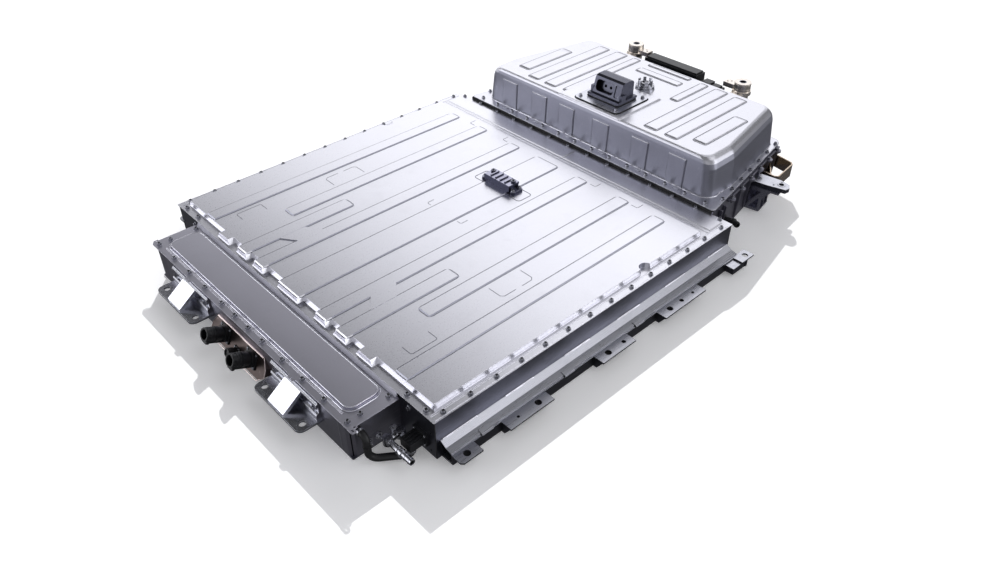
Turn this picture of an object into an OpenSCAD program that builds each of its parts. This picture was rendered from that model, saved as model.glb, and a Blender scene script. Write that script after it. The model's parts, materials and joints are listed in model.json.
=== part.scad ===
// Traction battery pack for a road vehicle: aluminium tray with a narrow nose at the front,
// a wide main case under a beaded lid, and a two-storey rear section under a deep cover.
// The front of the vehicle is -Y, up is +Z. Lengths below are measured from the front edge
// of the main lid, and placed() moves every piece so that the origin is under the middle.

/* [Main case] */
// Width over the flange of the main lid
lid_w = 1200; // [1150:1:1250]
// Length of the main lid
lid_len = 1116; // [1080:1:1150]
// Height of the case beams above the ground
beam_top = 118; // [110:1:130]
// Width of the case beams
beam_w = 38; // [34:1:44]
// How far the lid stands out over the beams
lid_overhang = 3; // [2:0.5:4]
// Thickness of the floor plate
floor_t = 4; // [3:0.5:6]
// Wall thickness of the hollow beams
beam_wall = 3; // [2.5:0.5:5]
// Thickness of the sealing gaskets
gasket_t = 2; // [1:0.5:3]

/* [Main lid] */
// Sheet thickness of the lids
lid_t = 2; // [1.5:0.5:3]
// Height of the pressed panel above the lid's flange
panel_h = 15; // [10:1:20]
// Flange width left and right of the panel
flange_side = 30; // [26:1:34]
// Front edge of the pressed panel
panel_front = 25; // [20:1:30]
// Front edge of the tongues that the beads run into
tongue_front = 7; // [5:1:12]
// Distance of the panel's rear edge from the lid's rear edge
panel_back = 112; // [96:1:136]
// Slope run of the panel's edge
panel_draft = 4; // [2:1:8]
// Slope run of the tongues' sides
tongue_draft = 9; // [4:1:12]
// Height of the stiffening beads
bead_h = 2.5; // [1.5:0.5:4]
// Number of lid bolts along each side
side_count = 14; // [12:1:16]
// Number of lid bolts along the rear
rear_count = 14; // [12:1:16]

/* [Nose] */
// How far each side of the nose stands inside the side beams
nose_step = 89; // [80:1:109]
// Front face of the nose frame ahead of the lid
nose_len = 135; // [120:1:150]
// Height of the nose frame
nose_top = 106; // [100:1:112]
// Wall thickness of the nose frame
nose_wall = 6; // [5:0.5:8]
// Width of the nose frame's top flange
nose_flange = 26; // [24:1:30]
// Height of the nose lid's pressed panel
nose_panel_h = 7; // [4:1:9]

/* [Rear section] */
// Gap between the main lid and the rear section
rear_gap = 1; // [0.5:0.5:3]
// Length of the rear frame
rear_len = 517; // [505:1:525]
// Height of the rear frame
rear_top = 129; // [125:1:135]
// How far each side of the rear frame stands inside the main case at its front
rear_step = 67; // [60:1:75]
// How much each side of the rear frame comes in towards its rear
rear_taper = 96; // [86:1:104]
// Wall thickness of the rear frame
rear_wall = 8; // [6:1:10]
// Top of the deep cover above the ground
hump_top = 256; // [240:1:270]
// How far the deep cover's sides stand inside the rear frame
hump_side_in = 47; // [40:1:60]
// How far the deep cover's front wall stands behind the rear frame's front face
hump_front_in = 40; // [33:1:48]
// How far the deep cover's rear wall stands before the rear frame's rear face
hump_rear_in = 28; // [24:1:34]
// Sheet thickness of the deep cover
hump_t = 2.5; // [2:0.5:4]

/* [Side rails] */
// How far the side rails stand out beside the case
rail_reach = 73; // [60:1:90]
// Height of the rail's top edge
rail_top = 53; // [48:1:58]
// Height of the mounting tabs' top face
tab_top = 34; // [30:1:38]
// Wall thickness of the rail
rail_wall = 4; // [3:0.5:6]
// From the case wall to the rail's outer web
rail_web = 40; // [36:1:44]
// Thickness of the mounting tabs
tab_t = 5; // [4:0.5:8]
// Hole in the mounting tabs for the body bolts
tab_hole_d = 18; // [12:0.5:20]
// Distance of the tab holes from the tabs' outer edge
tab_hole_in = 18; // [14:1:24]

/* [Front brackets] */
// Middle of each front bracket from the middle of the pack
bracket_x = 257; // [240:1:270]
// Width of a front bracket
bracket_w = 206; // [190:1:220]
// Height of the bracket plate's top face
bracket_top = 48; // [40:1:56]
// Thickness of the bracket plate
bracket_t = 6; // [5:0.5:8]
// Spacing of the two bracket holes
bracket_pitch = 164; // [150:1:170]
// Diameter of the bracket holes
bracket_hole_d = 18; // [14:0.5:20]

/* [Rear mounts] */
// Distance of the rear mount holes from the middle
mount_x = 232; // [220:1:245]
// Distance of the rear mount holes behind the rear frame
mount_back = 41; // [35:1:46]
// Height of the rear mounts' top face
mount_top = 265; // [250:1:275]
// Outer diameter of the rear mount bosses
mount_d = 56; // [50:1:60]
// Bore of the rear mounts
mount_bore_d = 22; // [16:0.5:26]

/* [Sockets] */
// Distance of each power socket from the middle
socket_x = 65; // [58:1:72]
// How far the sockets point upwards, in degrees
socket_tilt = 26; // [20:1:30]
// Length of a power socket from its seat to its mouth
socket_len = 62; // [50:1:70]
// Outer radius of a power socket
socket_r = 18; // [16:0.5:20]
// Bore radius of a power socket
socket_bore = 14; // [12:0.5:15]

/* [Hidden] */
$fn = 48;

eps = 0.01;
alu = [0.72, 0.72, 0.75];
alu_dark = [0.50, 0.50, 0.54];
black = [0.06, 0.06, 0.07];
steel = [0.62, 0.62, 0.65];

half = lid_w / 2;
beam_out = half - lid_overhang;
beam_in = beam_out - beam_w;
nose_half = beam_in - nose_step;
rear_front = lid_len + rear_gap;
rear_end = rear_front + rear_len;
rear_half = beam_out - rear_step;
rear_half_end = rear_half - rear_taper;
hump_half = rear_half - hump_side_in;
hump_front = rear_front + hump_front_in;
hump_rear = rear_end - hump_rear_in;
rail_half = beam_out + rail_reach;
tab_hole_x = rail_half - tab_hole_in;
mount_y = rear_end + mount_back;
panel_rear = lid_len - panel_back;

socket_y = -nose_len - 13.5;
socket_z = 46;
pack_front = socket_y - socket_len * cos(socket_tilt) - socket_r * sin(socket_tilt);
pack_back = mount_y + mount_d / 2 + 4;
lid_front_y = -(pack_front + pack_back) / 2;
flange_z = beam_top + gasket_t;
flange_top = flange_z + lid_t;
panel_half = half - flange_side;
side_bolt_x = half - 12;
side_bolt_end = 39;
side_pitch = (lid_len - 2 * side_bolt_end + 2) / (side_count - 1);
side_bolts = [for (i = [0:side_count - 1]) side_bolt_end - 2 + side_pitch * i];
rear_bolt_y = lid_len - 7;
rear_pitch = (lid_w - 79.4) / (rear_count - 1);
rear_bolts = [for (i = [0:rear_count - 1]) rear_pitch * (i - (rear_count - 1) / 2)];
front_bolts = [40 - half, -nose_half - 22, nose_half + 22, half - 40];
front_bolt_y = 12;
lid_points = concat(
  [for (s = [-1, 1]) for (y = side_bolts) [s * side_bolt_x, y]],
  [for (x = rear_bolts) [x, rear_bolt_y]],
  [for (x = front_bolts) [x, front_bolt_y]]);

nose_lid_z = nose_top + gasket_t;
nose_bolt_x = nose_half - 12;
nose_points = concat(
  [for (s = [-1, 1]) for (x = [33, 100, 190, 278, nose_bolt_x - 92, nose_bolt_x]) [s * x, 8 - nose_len]],
  [for (s = [-1, 1]) for (y = [42 - nose_len, -15]) [s * nose_bolt_x, y]]);

hump_flange_z = rear_top + gasket_t;
hump_flange_top = hump_flange_z + lid_t;
hump_edge = 3;
rear_chamfer = 16;
side_row_pitch = (rear_len - 103) / 6;
side_rows = [for (i = [0:6]) rear_front + 73 + side_row_pitch * i];
cover_pitch = (rear_half - 42.5) / 6.5;
cover_rear_pitch = (rear_half_end - 56) / 4.5;
hump_points = concat(
  [for (i = [0:13]) [cover_pitch * (i - 6.5), rear_front + 18]],
  [for (s = [-1, 1]) for (y = side_rows) [s * (side_at(y) - 5), y]],
  [for (i = [0:9]) [cover_rear_pitch * (i - 4.5), rear_end - 9]]);
scallop_pitch = (rear_len - 158) / 5;
scallop_rows = [for (i = [0:5]) rear_front + 115 + scallop_pitch * i];
scallop_z = rear_top - 12;
scallop_t = 6;
scallop_points = [for (s = [-1, 1]) for (y = scallop_rows) [s * (side_at(y) + 11), y]];

bolt_r = 3;
bolt_hole_r = 3.3;

bay_front = 4 + beam_w;
bay_rear = rear_front - beam_w;
cross_w = 20;
bay_len = (bay_rear - bay_front - 3 * cross_w) / 4;
cross_top = 100;
module_base = floor_t + 10;
module_h = 104;

// Where the hose connector passes through the front beam
port_x = beam_in - 14;
port_z = 44;
port_r = 12;
hose_r = 9;
hose_x = nose_half + 30;
hose_y = 23 - nose_len;
hose_top = nose_top - 22;
hose_low = floor_t + hose_r;
hose_end_x = port_x + 11;
hose_end_y = -34;

plug_y = hump_front + 106;
plug_bolts = [for (x = [-76, 76]) for (y = [plug_y - 67, plug_y + 67]) [x, y]];
valve_y = hump_front + 255;

// Half width of the tapered rear section at a distance y
function side_at(y) = rear_half + (rear_half_end - rear_half) * (y - rear_front) / (rear_end - rear_chamfer - rear_front);
function bay_y(i) = bay_front + i * (bay_len + cross_w);

module placed() {
  translate([0, lid_front_y, 0]) children();
}

module mirrored(side) {
  mirror([side < 0 ? 1 : 0, 0, 0]) children();
}

// A block from one corner to the other
module block(x0, x1, y0, y1, z0, z1) {
  translate([x0, y0, z0]) cube([x1 - x0, y1 - y0, z1 - z0]);
}

// Everything behind the line y, in plan
module behind(y) {
  translate([-lid_w, y]) square([2 * lid_w, lid_w]);
}

// A pressed shape with sloping sides: two crossing prisms give four flat slopes
module pressed(x0, x1, y0, y1, z, h, dx, dy) {
  intersection() {
    translate([0, y1, z]) rotate([90, 0, 0]) linear_extrude(y1 - y0)
      polygon([[x0, 0], [x1, 0], [x1 - dx, h], [x0 + dx, h]]);
    translate([x0, 0, z]) rotate([90, 0, 90]) linear_extrude(x1 - x0)
      polygon([[y0, 0], [y1, 0], [y1 - dy, h], [y0 + dy, h]]);
  }
}

module rounded_box2(x0, x1, y0, y1, r) {
  hull() for (x = [x0 + r, x1 - r]) for (y = [y0 + r, y1 - r]) translate([x, y]) circle(r, $fn = 32);
}

// Flanged hexagon bolt with its seat at z
module bolt(p, z, shank = 12) {
  translate([p[0], p[1], z]) {
    cylinder(r = 7, h = 1.5, $fn = 24);
    cylinder(r = 5.6, h = 6, $fn = 6);
    translate([0, 0, -shank]) cylinder(r = bolt_r, h = shank + 1, $fn = 20);
  }
}

module bolt_holes(points, z, h) {
  for (p = points) translate([p[0], p[1], z]) cylinder(r = bolt_hole_r, h = h, $fn = 20);
}

// Hollow beam with one web, its top wall thick enough for threads. A beam along Y has
// closed ends with a vent hole in each chamber
module beam(x0, x1, y0, y1, along_y) {
  web = (floor_t + beam_top) / 2;
  difference() {
    block(x0, x1, y0, y1, floor_t, beam_top);
    for (z = [[floor_t + beam_wall, web], [web + beam_wall, beam_top - 6]])
      if (along_y) {
        block(x0 + beam_wall, x1 - beam_wall, y0 + beam_wall, y1 - beam_wall, z[0], z[1]);
        translate([(x0 + x1) / 2, y0 - 1, z[0] + 8]) rotate([-90, 0, 0]) cylinder(r = 3, h = y1 - y0 + 2, $fn = 24);
      } else
        block(x0 - 1, x1 + 1, y0 + beam_wall, y1 - beam_wall, z[0], z[1]);
  }
}

module tray_outline(inset = 0) {
  offset(delta = -inset) union() {
    translate([-beam_out, 4]) square([2 * beam_out, rear_front - 4]);
    translate([-nose_half, -nose_len]) square([2 * nose_half, nose_len + 5]);
    rear_outline();
  }
}

module rear_outline(inset = 0) {
  offset(delta = -inset)
    polygon([[-side_at(rear_front - 1), rear_front - 1], [side_at(rear_front - 1), rear_front - 1],
      [rear_half_end, rear_end - rear_chamfer], [rear_half_end - rear_chamfer, rear_end],
      [rear_chamfer - rear_half_end, rear_end], [-rear_half_end, rear_end - rear_chamfer]]);
}

// Floor plate with drain holes and shallow stiffening grooves underneath
module tray_floor() {
  color(alu_dark) placed() difference() {
    linear_extrude(floor_t) tray_outline();
    for (x = [-500, -400, -300, -200, -100, 100, 200, 300, 400, 500])
      block(x - 9, x + 9, 90, lid_len - 76, -1, 1.2);
    for (x = [-300, -150, 150, 300])
      block(x - 9, x + 9, rear_front + 73, rear_end - 74, -1, 1.2);
    for (s = [-1, 1]) for (y = [60, rear_front + 63, rear_end - 54])
      translate([s * 350, y, -1]) cylinder(r = 6, h = 2.2, $fn = 24);
  }
}

module side_beam(side) {
  color(alu) placed() mirrored(side) difference() {
    beam(beam_in, beam_out, 4, rear_front, true);
    for (y = side_bolts) translate([side_bolt_x, y, beam_top - 14]) cylinder(r = bolt_hole_r, h = 20, $fn = 20);
    translate([rear_bolts[rear_count - 1], rear_bolt_y, beam_top - 14]) cylinder(r = bolt_hole_r, h = 20, $fn = 20);
    for (x = front_bolts) translate([x, front_bolt_y, beam_top - 14]) cylinder(r = bolt_hole_r, h = 20, $fn = 20);
  }
}
module side_beam_left() { side_beam(-1); }
module side_beam_right() { side_beam(1); }

module front_beam() {
  color(alu_dark) placed() difference() {
    beam(-beam_in, beam_in, 4, 4 + beam_w, false);
    for (x = front_bolts) translate([x, front_bolt_y, beam_top - 14]) cylinder(r = bolt_hole_r, h = 20, $fn = 20);
    for (x = [-60, 60]) translate([x, 0, 62]) rotate([-90, 0, 0]) cylinder(r = 14, h = 60);
    translate([port_x, 0, port_z]) rotate([-90, 0, 0]) cylinder(r = port_r, h = 60);
  }
}

module rear_beam() {
  color(alu_dark) placed() difference() {
    beam(-beam_in, beam_in, rear_front - beam_w, rear_front, false);
    for (x = rear_bolts) translate([x, rear_bolt_y, beam_top - 14]) cylinder(r = bolt_hole_r, h = 20, $fn = 20);
    for (x = [-60, 60]) translate([x, rear_front - beam_w - 1, 62]) rotate([-90, 0, 0]) cylinder(r = 14, h = 60);
  }
}

// Cross beams tie the side beams together between the module rows
module cross_beam(i) {
  y = bay_y(i) - cross_w;
  color(alu) placed() difference() {
    block(-beam_in, beam_in, y, y + cross_w, floor_t, cross_top);
    block(-beam_in - 1, beam_in + 1, y + beam_wall, y + cross_w - beam_wall, floor_t + beam_wall, 50);
    block(-beam_in - 1, beam_in + 1, y + beam_wall, y + cross_w - beam_wall, 50 + beam_wall, cross_top - 5);
  }
}
module cross_beam_1() { cross_beam(1); }
module cross_beam_2() { cross_beam(2); }
module cross_beam_3() { cross_beam(3); }

module centre_beams() {
  color(alu) placed() for (i = [0:3]) difference() {
    block(-12, 12, bay_y(i), bay_y(i) + bay_len, floor_t, cross_top);
    block(-9, 9, bay_y(i) - 1, bay_y(i) + bay_len + 1, floor_t + beam_wall, cross_top - beam_wall);
  }
}

// Four-sided frame of the nose with an inward top flange
module nose_frame() {
  color(alu_dark) placed() difference() {
    translate([0, 0, floor_t]) linear_extrude(nose_top - floor_t)
      polygon([[-nose_half, 4], [-nose_half, 14 - nose_len], [14 - nose_half, -nose_len],
        [nose_half - 14, -nose_len], [nose_half, 14 - nose_len], [nose_half, 4]]);
    block(-nose_half + nose_wall, nose_half - nose_wall, nose_wall - nose_len, 4 - nose_wall,
      floor_t - 1, nose_top - 6);
    block(-nose_half + nose_flange, nose_half - nose_flange, nose_flange - nose_len, 4 - nose_flange,
      nose_top - 7, nose_top + 1);
    bolt_holes(nose_points, nose_top - 10, 12);
    block(-96, 96, -nose_len - 1, -nose_len + nose_wall + 1, 22, 58);
    for (s = [-1, 1]) for (dx = bracket_bolt_dx) translate([s * bracket_x + dx, -nose_len - 1, bracket_bolt_z])
      rotate([-90, 0, 0]) cylinder(r = 4.3, h = nose_wall + 2, $fn = 24);
    for (x = [-60, 60]) translate([x, -10, 62]) rotate([-90, 0, 0]) cylinder(r = 14, h = 20);
    translate([nose_half - nose_wall - 1, hose_y, hose_top]) rotate([0, 90, 0])
      cylinder(r = hose_r + 0.3, h = nose_wall + 2);
  }
}

// Tapered ring around the rear section; a scalloped flange runs outside its top edge
scallop_start = 98;
scallop_y0 = rear_front + scallop_start;
foot_bolt_x = [mount_x - 33, mount_x + 33];
foot_bolt_z = 52;
foot_t = 12;
module rear_frame() {
  color(alu_dark) placed() difference() {
    union() {
      difference() {
        translate([0, 0, floor_t]) linear_extrude(rear_top - floor_t) intersection() {
          rear_outline();
          behind(rear_front);
        }
        translate([0, 0, floor_t - 1]) linear_extrude(rear_top - 6 - floor_t + 1)
          intersection() {
            rear_outline(rear_wall);
            behind(rear_front + rear_wall);
          }
        translate([0, 0, rear_top - 20]) linear_extrude(40)
          intersection() {
            rear_outline(34);
            behind(rear_front + 34);
          }
      }
      translate([0, 0, scallop_z]) linear_extrude(scallop_t) {
        for (s = [-1, 1]) mirrored(s)
          polygon([[side_at(scallop_y0) - 4, scallop_y0], [side_at(scallop_y0) + 9, scallop_y0],
            [rear_half_end + 9, rear_end - rear_chamfer], [rear_half_end - 4, rear_end - rear_chamfer]]);
        for (p = scallop_points) translate(p) circle(12, $fn = 32);
      }
    }
    bolt_holes(hump_points, rear_top - 8, 12);
    bolt_holes(scallop_points, scallop_z - 1, scallop_t + 2);
    for (s = [-1, 1]) for (x = foot_bolt_x) translate([s * x, rear_end - rear_wall - 1, foot_bolt_z])
      rotate([-90, 0, 0]) cylinder(r = 4.3, h = rear_wall + 2, $fn = 24);
    for (x = [-60, 60]) translate([x, rear_front - 1, 62]) rotate([-90, 0, 0]) cylinder(r = 14, h = rear_wall + 2);
  }
}

// Extruded side rail: a closed chamber, a flange cut into mounting tabs and a lower lip
rail_gaps = [[80, 165], [308, 484], [610, 735], [lid_len - 204, lid_len + 4]];
rail_y0 = 17;
rail_y1 = lid_len - 4;
rear_tab_y = lid_len + 12;
small_tab_holes = [[205, 4], [582, 6], [825, 6.5], [875, 4.5]];
tab_holes = [47, 271, 522, 774];
module side_rail(side) {
  x0 = beam_out;
  color(alu) placed() mirrored(side) difference() {
    translate([0, rail_y1, 0]) rotate([90, 0, 0]) linear_extrude(rail_y1 - rail_y0) difference() {
      polygon([[x0, rail_top], [x0 + 18, rail_top - 11], [x0 + rail_web - 4, rail_top - 15],
        [x0 + rail_web - 2.5, tab_top], [rail_half, tab_top], [rail_half, tab_top - tab_t],
        [x0 + rail_web, tab_top - tab_t], [x0 + rail_web, 3], [x0, 3]]);
      polygon([[x0 + rail_wall, rail_top - 7], [x0 + 17, rail_top - 15], [x0 + rail_web - rail_wall, rail_top - 19],
        [x0 + rail_web - rail_wall, 8], [x0 + rail_wall, 8]]);
    }
    for (g = rail_gaps) block(x0 + rail_web, rail_half + 1, g[0], g[1], 10, tab_top + 1);
    for (y = tab_holes) translate([tab_hole_x, y, 0]) cylinder(r = tab_hole_d / 2, h = 60);
    for (h = small_tab_holes) translate([tab_hole_x, h[0], 15]) cylinder(r = h[1], h = 60, $fn = 32);
    translate([rail_half, rail_y0, 0]) rotate([0, 0, 45]) cube([9, 9, 120], center = true);
  }
  // A leaning gusset under the front end of each tab but the first
  color(alu) placed() mirrored(side) for (g = rail_gaps) if (g[1] < rail_y1)
    translate([0, g[1] + 5, 0]) rotate([90, 0, 0]) linear_extrude(5)
      polygon([[x0 + rail_web - 1, 4], [x0 + rail_web + 12, 4], [rail_half - 3, tab_top - tab_t + 1],
        [x0 + rail_web - 1, tab_top - tab_t + 1]]);
}
module side_rail_left() { side_rail(-1); }
module side_rail_right() { side_rail(1); }

// Separate tab at each rail's rear end, carried on a block under the rail's flange
module rear_tab(side) {
  x0 = beam_out + rail_web;
  color(alu) placed() mirrored(side) difference() {
    union() {
      block(x0 - 4, rail_half - 2, rear_tab_y - 36, rear_tab_y + 22, tab_top - tab_t, tab_top);
      block(x0, rail_half - 4, rear_tab_y - 76, rear_tab_y - 12, 9, tab_top - tab_t);
      block(x0 - 4, rail_half - 2, rail_y1, rail_y1 + 8, 9, tab_top - tab_t);
    }
    translate([tab_hole_x, rear_tab_y, 0]) cylinder(r = tab_hole_d / 2, h = 60);
    block(x0 - 5, x0, rail_y1 - 112, rail_y1, 0, tab_top + 1);
  }
}
module rear_tab_left() { rear_tab(-1); }
module rear_tab_right() { rear_tab(1); }

// Tongues at the front of the panel and beads that run over it, mirrored left and right
tongues = [[-45, 45], [126, 172], [211, 258], [306, 362]];
long_beads = [[-49, 49], [125, 172], [panel_half - 146, panel_half - 100]];
rear_bead = [287, 334];
front_bead = [212, 260];
bridge_y = panel_rear - 236;
notch_y = bridge_y - 10;
notch_r = 20;
module panel_shape(cut) {
  difference() {
    pressed(-panel_half + cut, panel_half - cut, panel_front + cut, panel_rear - cut, 0, panel_h,
      panel_draft, panel_draft);
    for (s = [-1, 1]) translate([s * panel_half, notch_y, -5]) cylinder(r = notch_r + cut, h = panel_h + 10);
  }
  for (t = tongues) for (s = t[0] < 0 ? [1] : [-1, 1]) mirrored(s)
    pressed(t[0] - tongue_draft / 2 + cut, t[1] + tongue_draft / 2 - cut, tongue_front + cut,
      panel_front + 60, 0, panel_h, tongue_draft, panel_draft);
}

module bead(x0, x1, y0, y1) {
  pressed(x0, x1, y0, y1, -0.5, bead_h + 0.5, 3, 4);
}

module main_lid() {
  color(alu) placed() difference() {
    union() {
      translate([-half, 0, flange_z]) cube([lid_w, lid_len, lid_t]);
      translate([0, 0, flange_top - 0.5]) panel_shape(0);
      translate([0, 0, bridge_z]) {
        for (b = long_beads) for (s = b[0] < 0 ? [1] : [-1, 1]) mirrored(s)
          bead(b[0], b[1], b[0] > 300 ? panel_front + 6 : tongue_front + 5, panel_rear - 36);
        for (s = [-1, 1]) mirrored(s) {
          bead(rear_bead[0], rear_bead[1], 207, panel_rear - 32);
          bead(front_bead[0], front_bead[1], tongue_front + 5, 371);
          translate([0, 0, -0.5]) linear_extrude(bead_h + 0.5)
            polygon([[168, 150], [214, 118], [214, 200], [168, 232]]);
        }
      }
      // Two steps behind the panel
      for (s = [-1, 1]) mirrored(s) {
        pressed(-1, panel_half + 8, panel_rear + 22, panel_rear + 30, flange_top - 0.5, 2, 0, 2);
        pressed(-1, panel_half + 8, panel_rear + 34, lid_len - 16, flange_top - 0.5, 3, 5, 3);
      }
    }
    // The inside follows the outside at the sheet's thickness
    translate([0, 0, flange_top - 0.5 - lid_t]) panel_shape(lid_t + 0.4);
    bolt_holes(lid_points, flange_z - 1, 6);
  }
}

module ring(x, y0, y1, w, z, t) {
  difference() {
    block(-x, x, y0, y1, z, z + t);
    block(w - x, x - w, y0 + w, y1 - w, z - 1, z + t + 1);
  }
}

module main_lid_gasket() {
  color(black) placed() difference() {
    ring(half - 4, 5, lid_len - 1, 22, beam_top, gasket_t);
    bolt_holes(lid_points, beam_top - 1, 4);
  }
}

module nose_lid() {
  w = nose_half + 10;
  color(alu_dark) placed() difference() {
    union() {
      translate([0, 0, nose_lid_z]) linear_extrude(lid_t) union() {
        polygon([[-w, -1], [-w, 16 - nose_len], [-w - 5, 16 - nose_len], [-w - 5, 4 - nose_len],
          [-w + 8, -nose_len - 5], [-268, -nose_len - 5], [-264, -nose_len - 13], [-246, -nose_len - 13],
          [-242, -nose_len - 5], [242, -nose_len - 5], [246, -nose_len - 13], [264, -nose_len - 13],
          [268, -nose_len - 5], [w - 8, -nose_len - 5], [w + 5, 4 - nose_len], [w + 5, 16 - nose_len],
          [w, 16 - nose_len], [w, -1]]);
      }
      translate([0, 0, nose_lid_z]) linear_extrude(lid_t + nose_panel_h - 3) rounded_box2(-w + 40, w - 40, 23 - nose_len, -14, 26);
      translate([0, 0, nose_lid_z]) linear_extrude(lid_t + nose_panel_h) rounded_box2(-w + 44, w - 44, 27 - nose_len, -18, 22);
    }
    translate([0, 0, nose_lid_z - 1]) linear_extrude(nose_panel_h + 1) rounded_box2(-w + 46, w - 46, 29 - nose_len, -20, 20);
    bolt_holes(nose_points, nose_lid_z - 1, 5);
    for (s = [-1, 1]) {
      translate([s * (w + 0.5), 10 - nose_len, nose_lid_z - 1]) cylinder(r = 2.8, h = 5, $fn = 24);
      translate([s * 255, -nose_len - 9, nose_lid_z - 1]) cylinder(r = 2.2, h = 5, $fn = 24);
    }
  }
}

module nose_lid_gasket() {
  color(black) placed() difference() {
    ring(nose_half - 2, 2 - nose_len, 2, 18, nose_top, gasket_t);
    bolt_holes(nose_points, nose_top - 1, 4);
    for (s = [-1, 1]) translate([s * (nose_half - 1), 1 - nose_len, 0]) rotate([0, 0, 45]) cube([20, 20, 400], center = true);
  }
}

// Deep cover: outline at a height, drawn in by ix at the sides and iy at the ends
module hump_slice(z, ix, iy, r) {
  x = hump_half - ix;
  translate([0, 0, z]) linear_extrude(eps) offset(r = r, $fn = 40) offset(delta = -r)
    polygon([[-x, hump_front + iy], [x, hump_front + iy], [x, hump_front + 122], [x - 22, hump_front + 232],
      [x - 64, hump_rear - iy], [64 - x, hump_rear - iy], [22 - x, hump_front + 232], [-x, hump_front + 122]]);
}
module hump_body(t) {
  top = hump_top - t;
  hull() {
    hump_slice(hump_flange_z - (t > 0 ? 1 : 0), t, t, 30 - t);
    hump_slice(top - 34, 8 + t, 4 + t, 30 - t);
    hump_slice(top - 18, 13 + t, 5 + t, 30 - t);
    hump_slice(top - 8, 20 + t, 7.5 + t, 32 - t);
    hump_slice(top - 2, 29 + t, 11 + t, 34 - t);
    hump_slice(top - eps, 37 + t, 15 + t, 36 - t);
  }
}
front_panels = [[75 - hump_half, 145 - hump_half], [-263, -195], [-136, -69], [14, 81], [177, 242],
  [hump_half - 162, hump_half - 98]];
bead_start = hump_front + 35;
bead_end = hump_rear - 28;
top_beads = [[192, 241, bead_start, bead_end], [272, 319, bead_start, bead_end - 6],
  [hump_half - 131, hump_half - 83, bead_start + 36, bead_end - 123]];
module hump_cover() {
  color(alu) placed() difference() {
    union() {
      translate([0, 0, hump_flange_z]) linear_extrude(lid_t) intersection() {
        offset(r = 18, $fn = 40) rear_outline(18 - hump_edge);
        behind(rear_front + 1);
      }
      hump_body(0);
      // Proud strips pressed into the front wall
      for (p = front_panels) translate([p[0], 0, 0]) rotate([90, 0, 90]) linear_extrude(p[1] - p[0])
        polygon([[hump_front - 2.5, hump_flange_top - 1], [hump_front + 1.5, hump_top - 30], [hump_front + 6, hump_top - 30],
          [hump_front + 2, hump_flange_top - 1]]);
      for (s = [-1, 1]) mirrored(s) for (b = top_beads)
        pressed(b[0], b[1], b[2], b[3], hump_top - 1, bead_h + 1, 3, 8);
      pressed(131, 162, bead_end - 176, bead_end, hump_top - 1, bead_h + 1, 3, 8);
      pressed(-162, -131, bead_start + 8, bead_end, hump_top - 1, bead_h + 1, 3, 8);
      pressed(-92, 90, bead_end - 80, bead_end - 46, hump_top - 1, bead_h + 1, 3, 4);
      pressed(-88, 88, bead_end - 16, bead_end + 6, hump_top - 1, bead_h + 1, 3, 4);
      // Level pad under the service plug
      pressed(-148, 118, hump_front + 5, plug_y + 115, hump_top - 1, 5.5, 5, 4);
    }
    hump_body(hump_t);
    translate([0, 0, hump_flange_z - 5]) bolt_holes(hump_points, 0, 10);
    translate([0, plug_y, hump_top - 20]) cylinder(r = 30, h = 40);
    translate([20, valve_y, hump_top - 20]) cylinder(r = 17, h = 40);
    bolt_holes(plug_bolts, hump_top - 6, 14);
  }
}

module hump_gasket() {
  color(black) placed() difference() {
    translate([0, 0, rear_top]) linear_extrude(gasket_t) difference() {
      intersection() { rear_outline(1); behind(rear_front + 2); }
      intersection() { rear_outline(26); behind(rear_front + 28); }
    }
    bolt_holes(hump_points, rear_top - 1, 4);
  }
}

bracket_hole_y = -nose_len - 42;
bracket_bolt_dx = [-84, 84];
bracket_bolt_z = 77;

// Bracket drawn as one profile: plate, wall flange with two ribs, and a sloping gusset in its middle
module front_bracket(side) {
  y = -nose_len;
  x0 = bracket_x - bracket_w / 2;
  plate_y = bracket_hole_y - 23;
  color(alu) placed() mirrored(side) difference() {
    union() {
      difference() {
        translate([x0, 0, bracket_top - bracket_t]) linear_extrude(bracket_t)
          rounded_box2(0, bracket_w, plate_y, y + 20, 18);
        block(x0 - 1, x0 + bracket_w + 1, y, y + 40, 0, 100);
      }
      translate([x0 + 4, 0, 0]) rotate([90, 0, 90]) linear_extrude(bracket_w - 8)
        polygon([[y, bracket_top - bracket_t], [y, 100], [y - 5, 100], [y - 5, 96], [y - 9, 94], [y - 9, 88],
          [y - 5, 86], [y - 5, 68], [y - 11, 66], [y - 13, 62], [y - 13, bracket_top - bracket_t]]);
      translate([bracket_x - 34, 0, 0]) rotate([90, 0, 90]) linear_extrude(68)
        polygon([[plate_y + 3, bracket_top - 1], [plate_y + 3, bracket_top + 5], [y - 8, 92], [y - 4, 92], [y - 4, 85],
          [plate_y + 12, bracket_top - 1]]);
    }
    for (dx = [-bracket_pitch / 2, bracket_pitch / 2]) translate([bracket_x + dx, bracket_hole_y, 0])
      cylinder(r = bracket_hole_d / 2, h = 90);
    for (dx = bracket_bolt_dx) translate([bracket_x + dx, y - 30, bracket_bolt_z])
      rotate([-90, 0, 0]) cylinder(r = 4.3, h = 40, $fn = 24);
  }
}
module front_bracket_left() { front_bracket(-1); }
module front_bracket_right() { front_bracket(1); }

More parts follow.
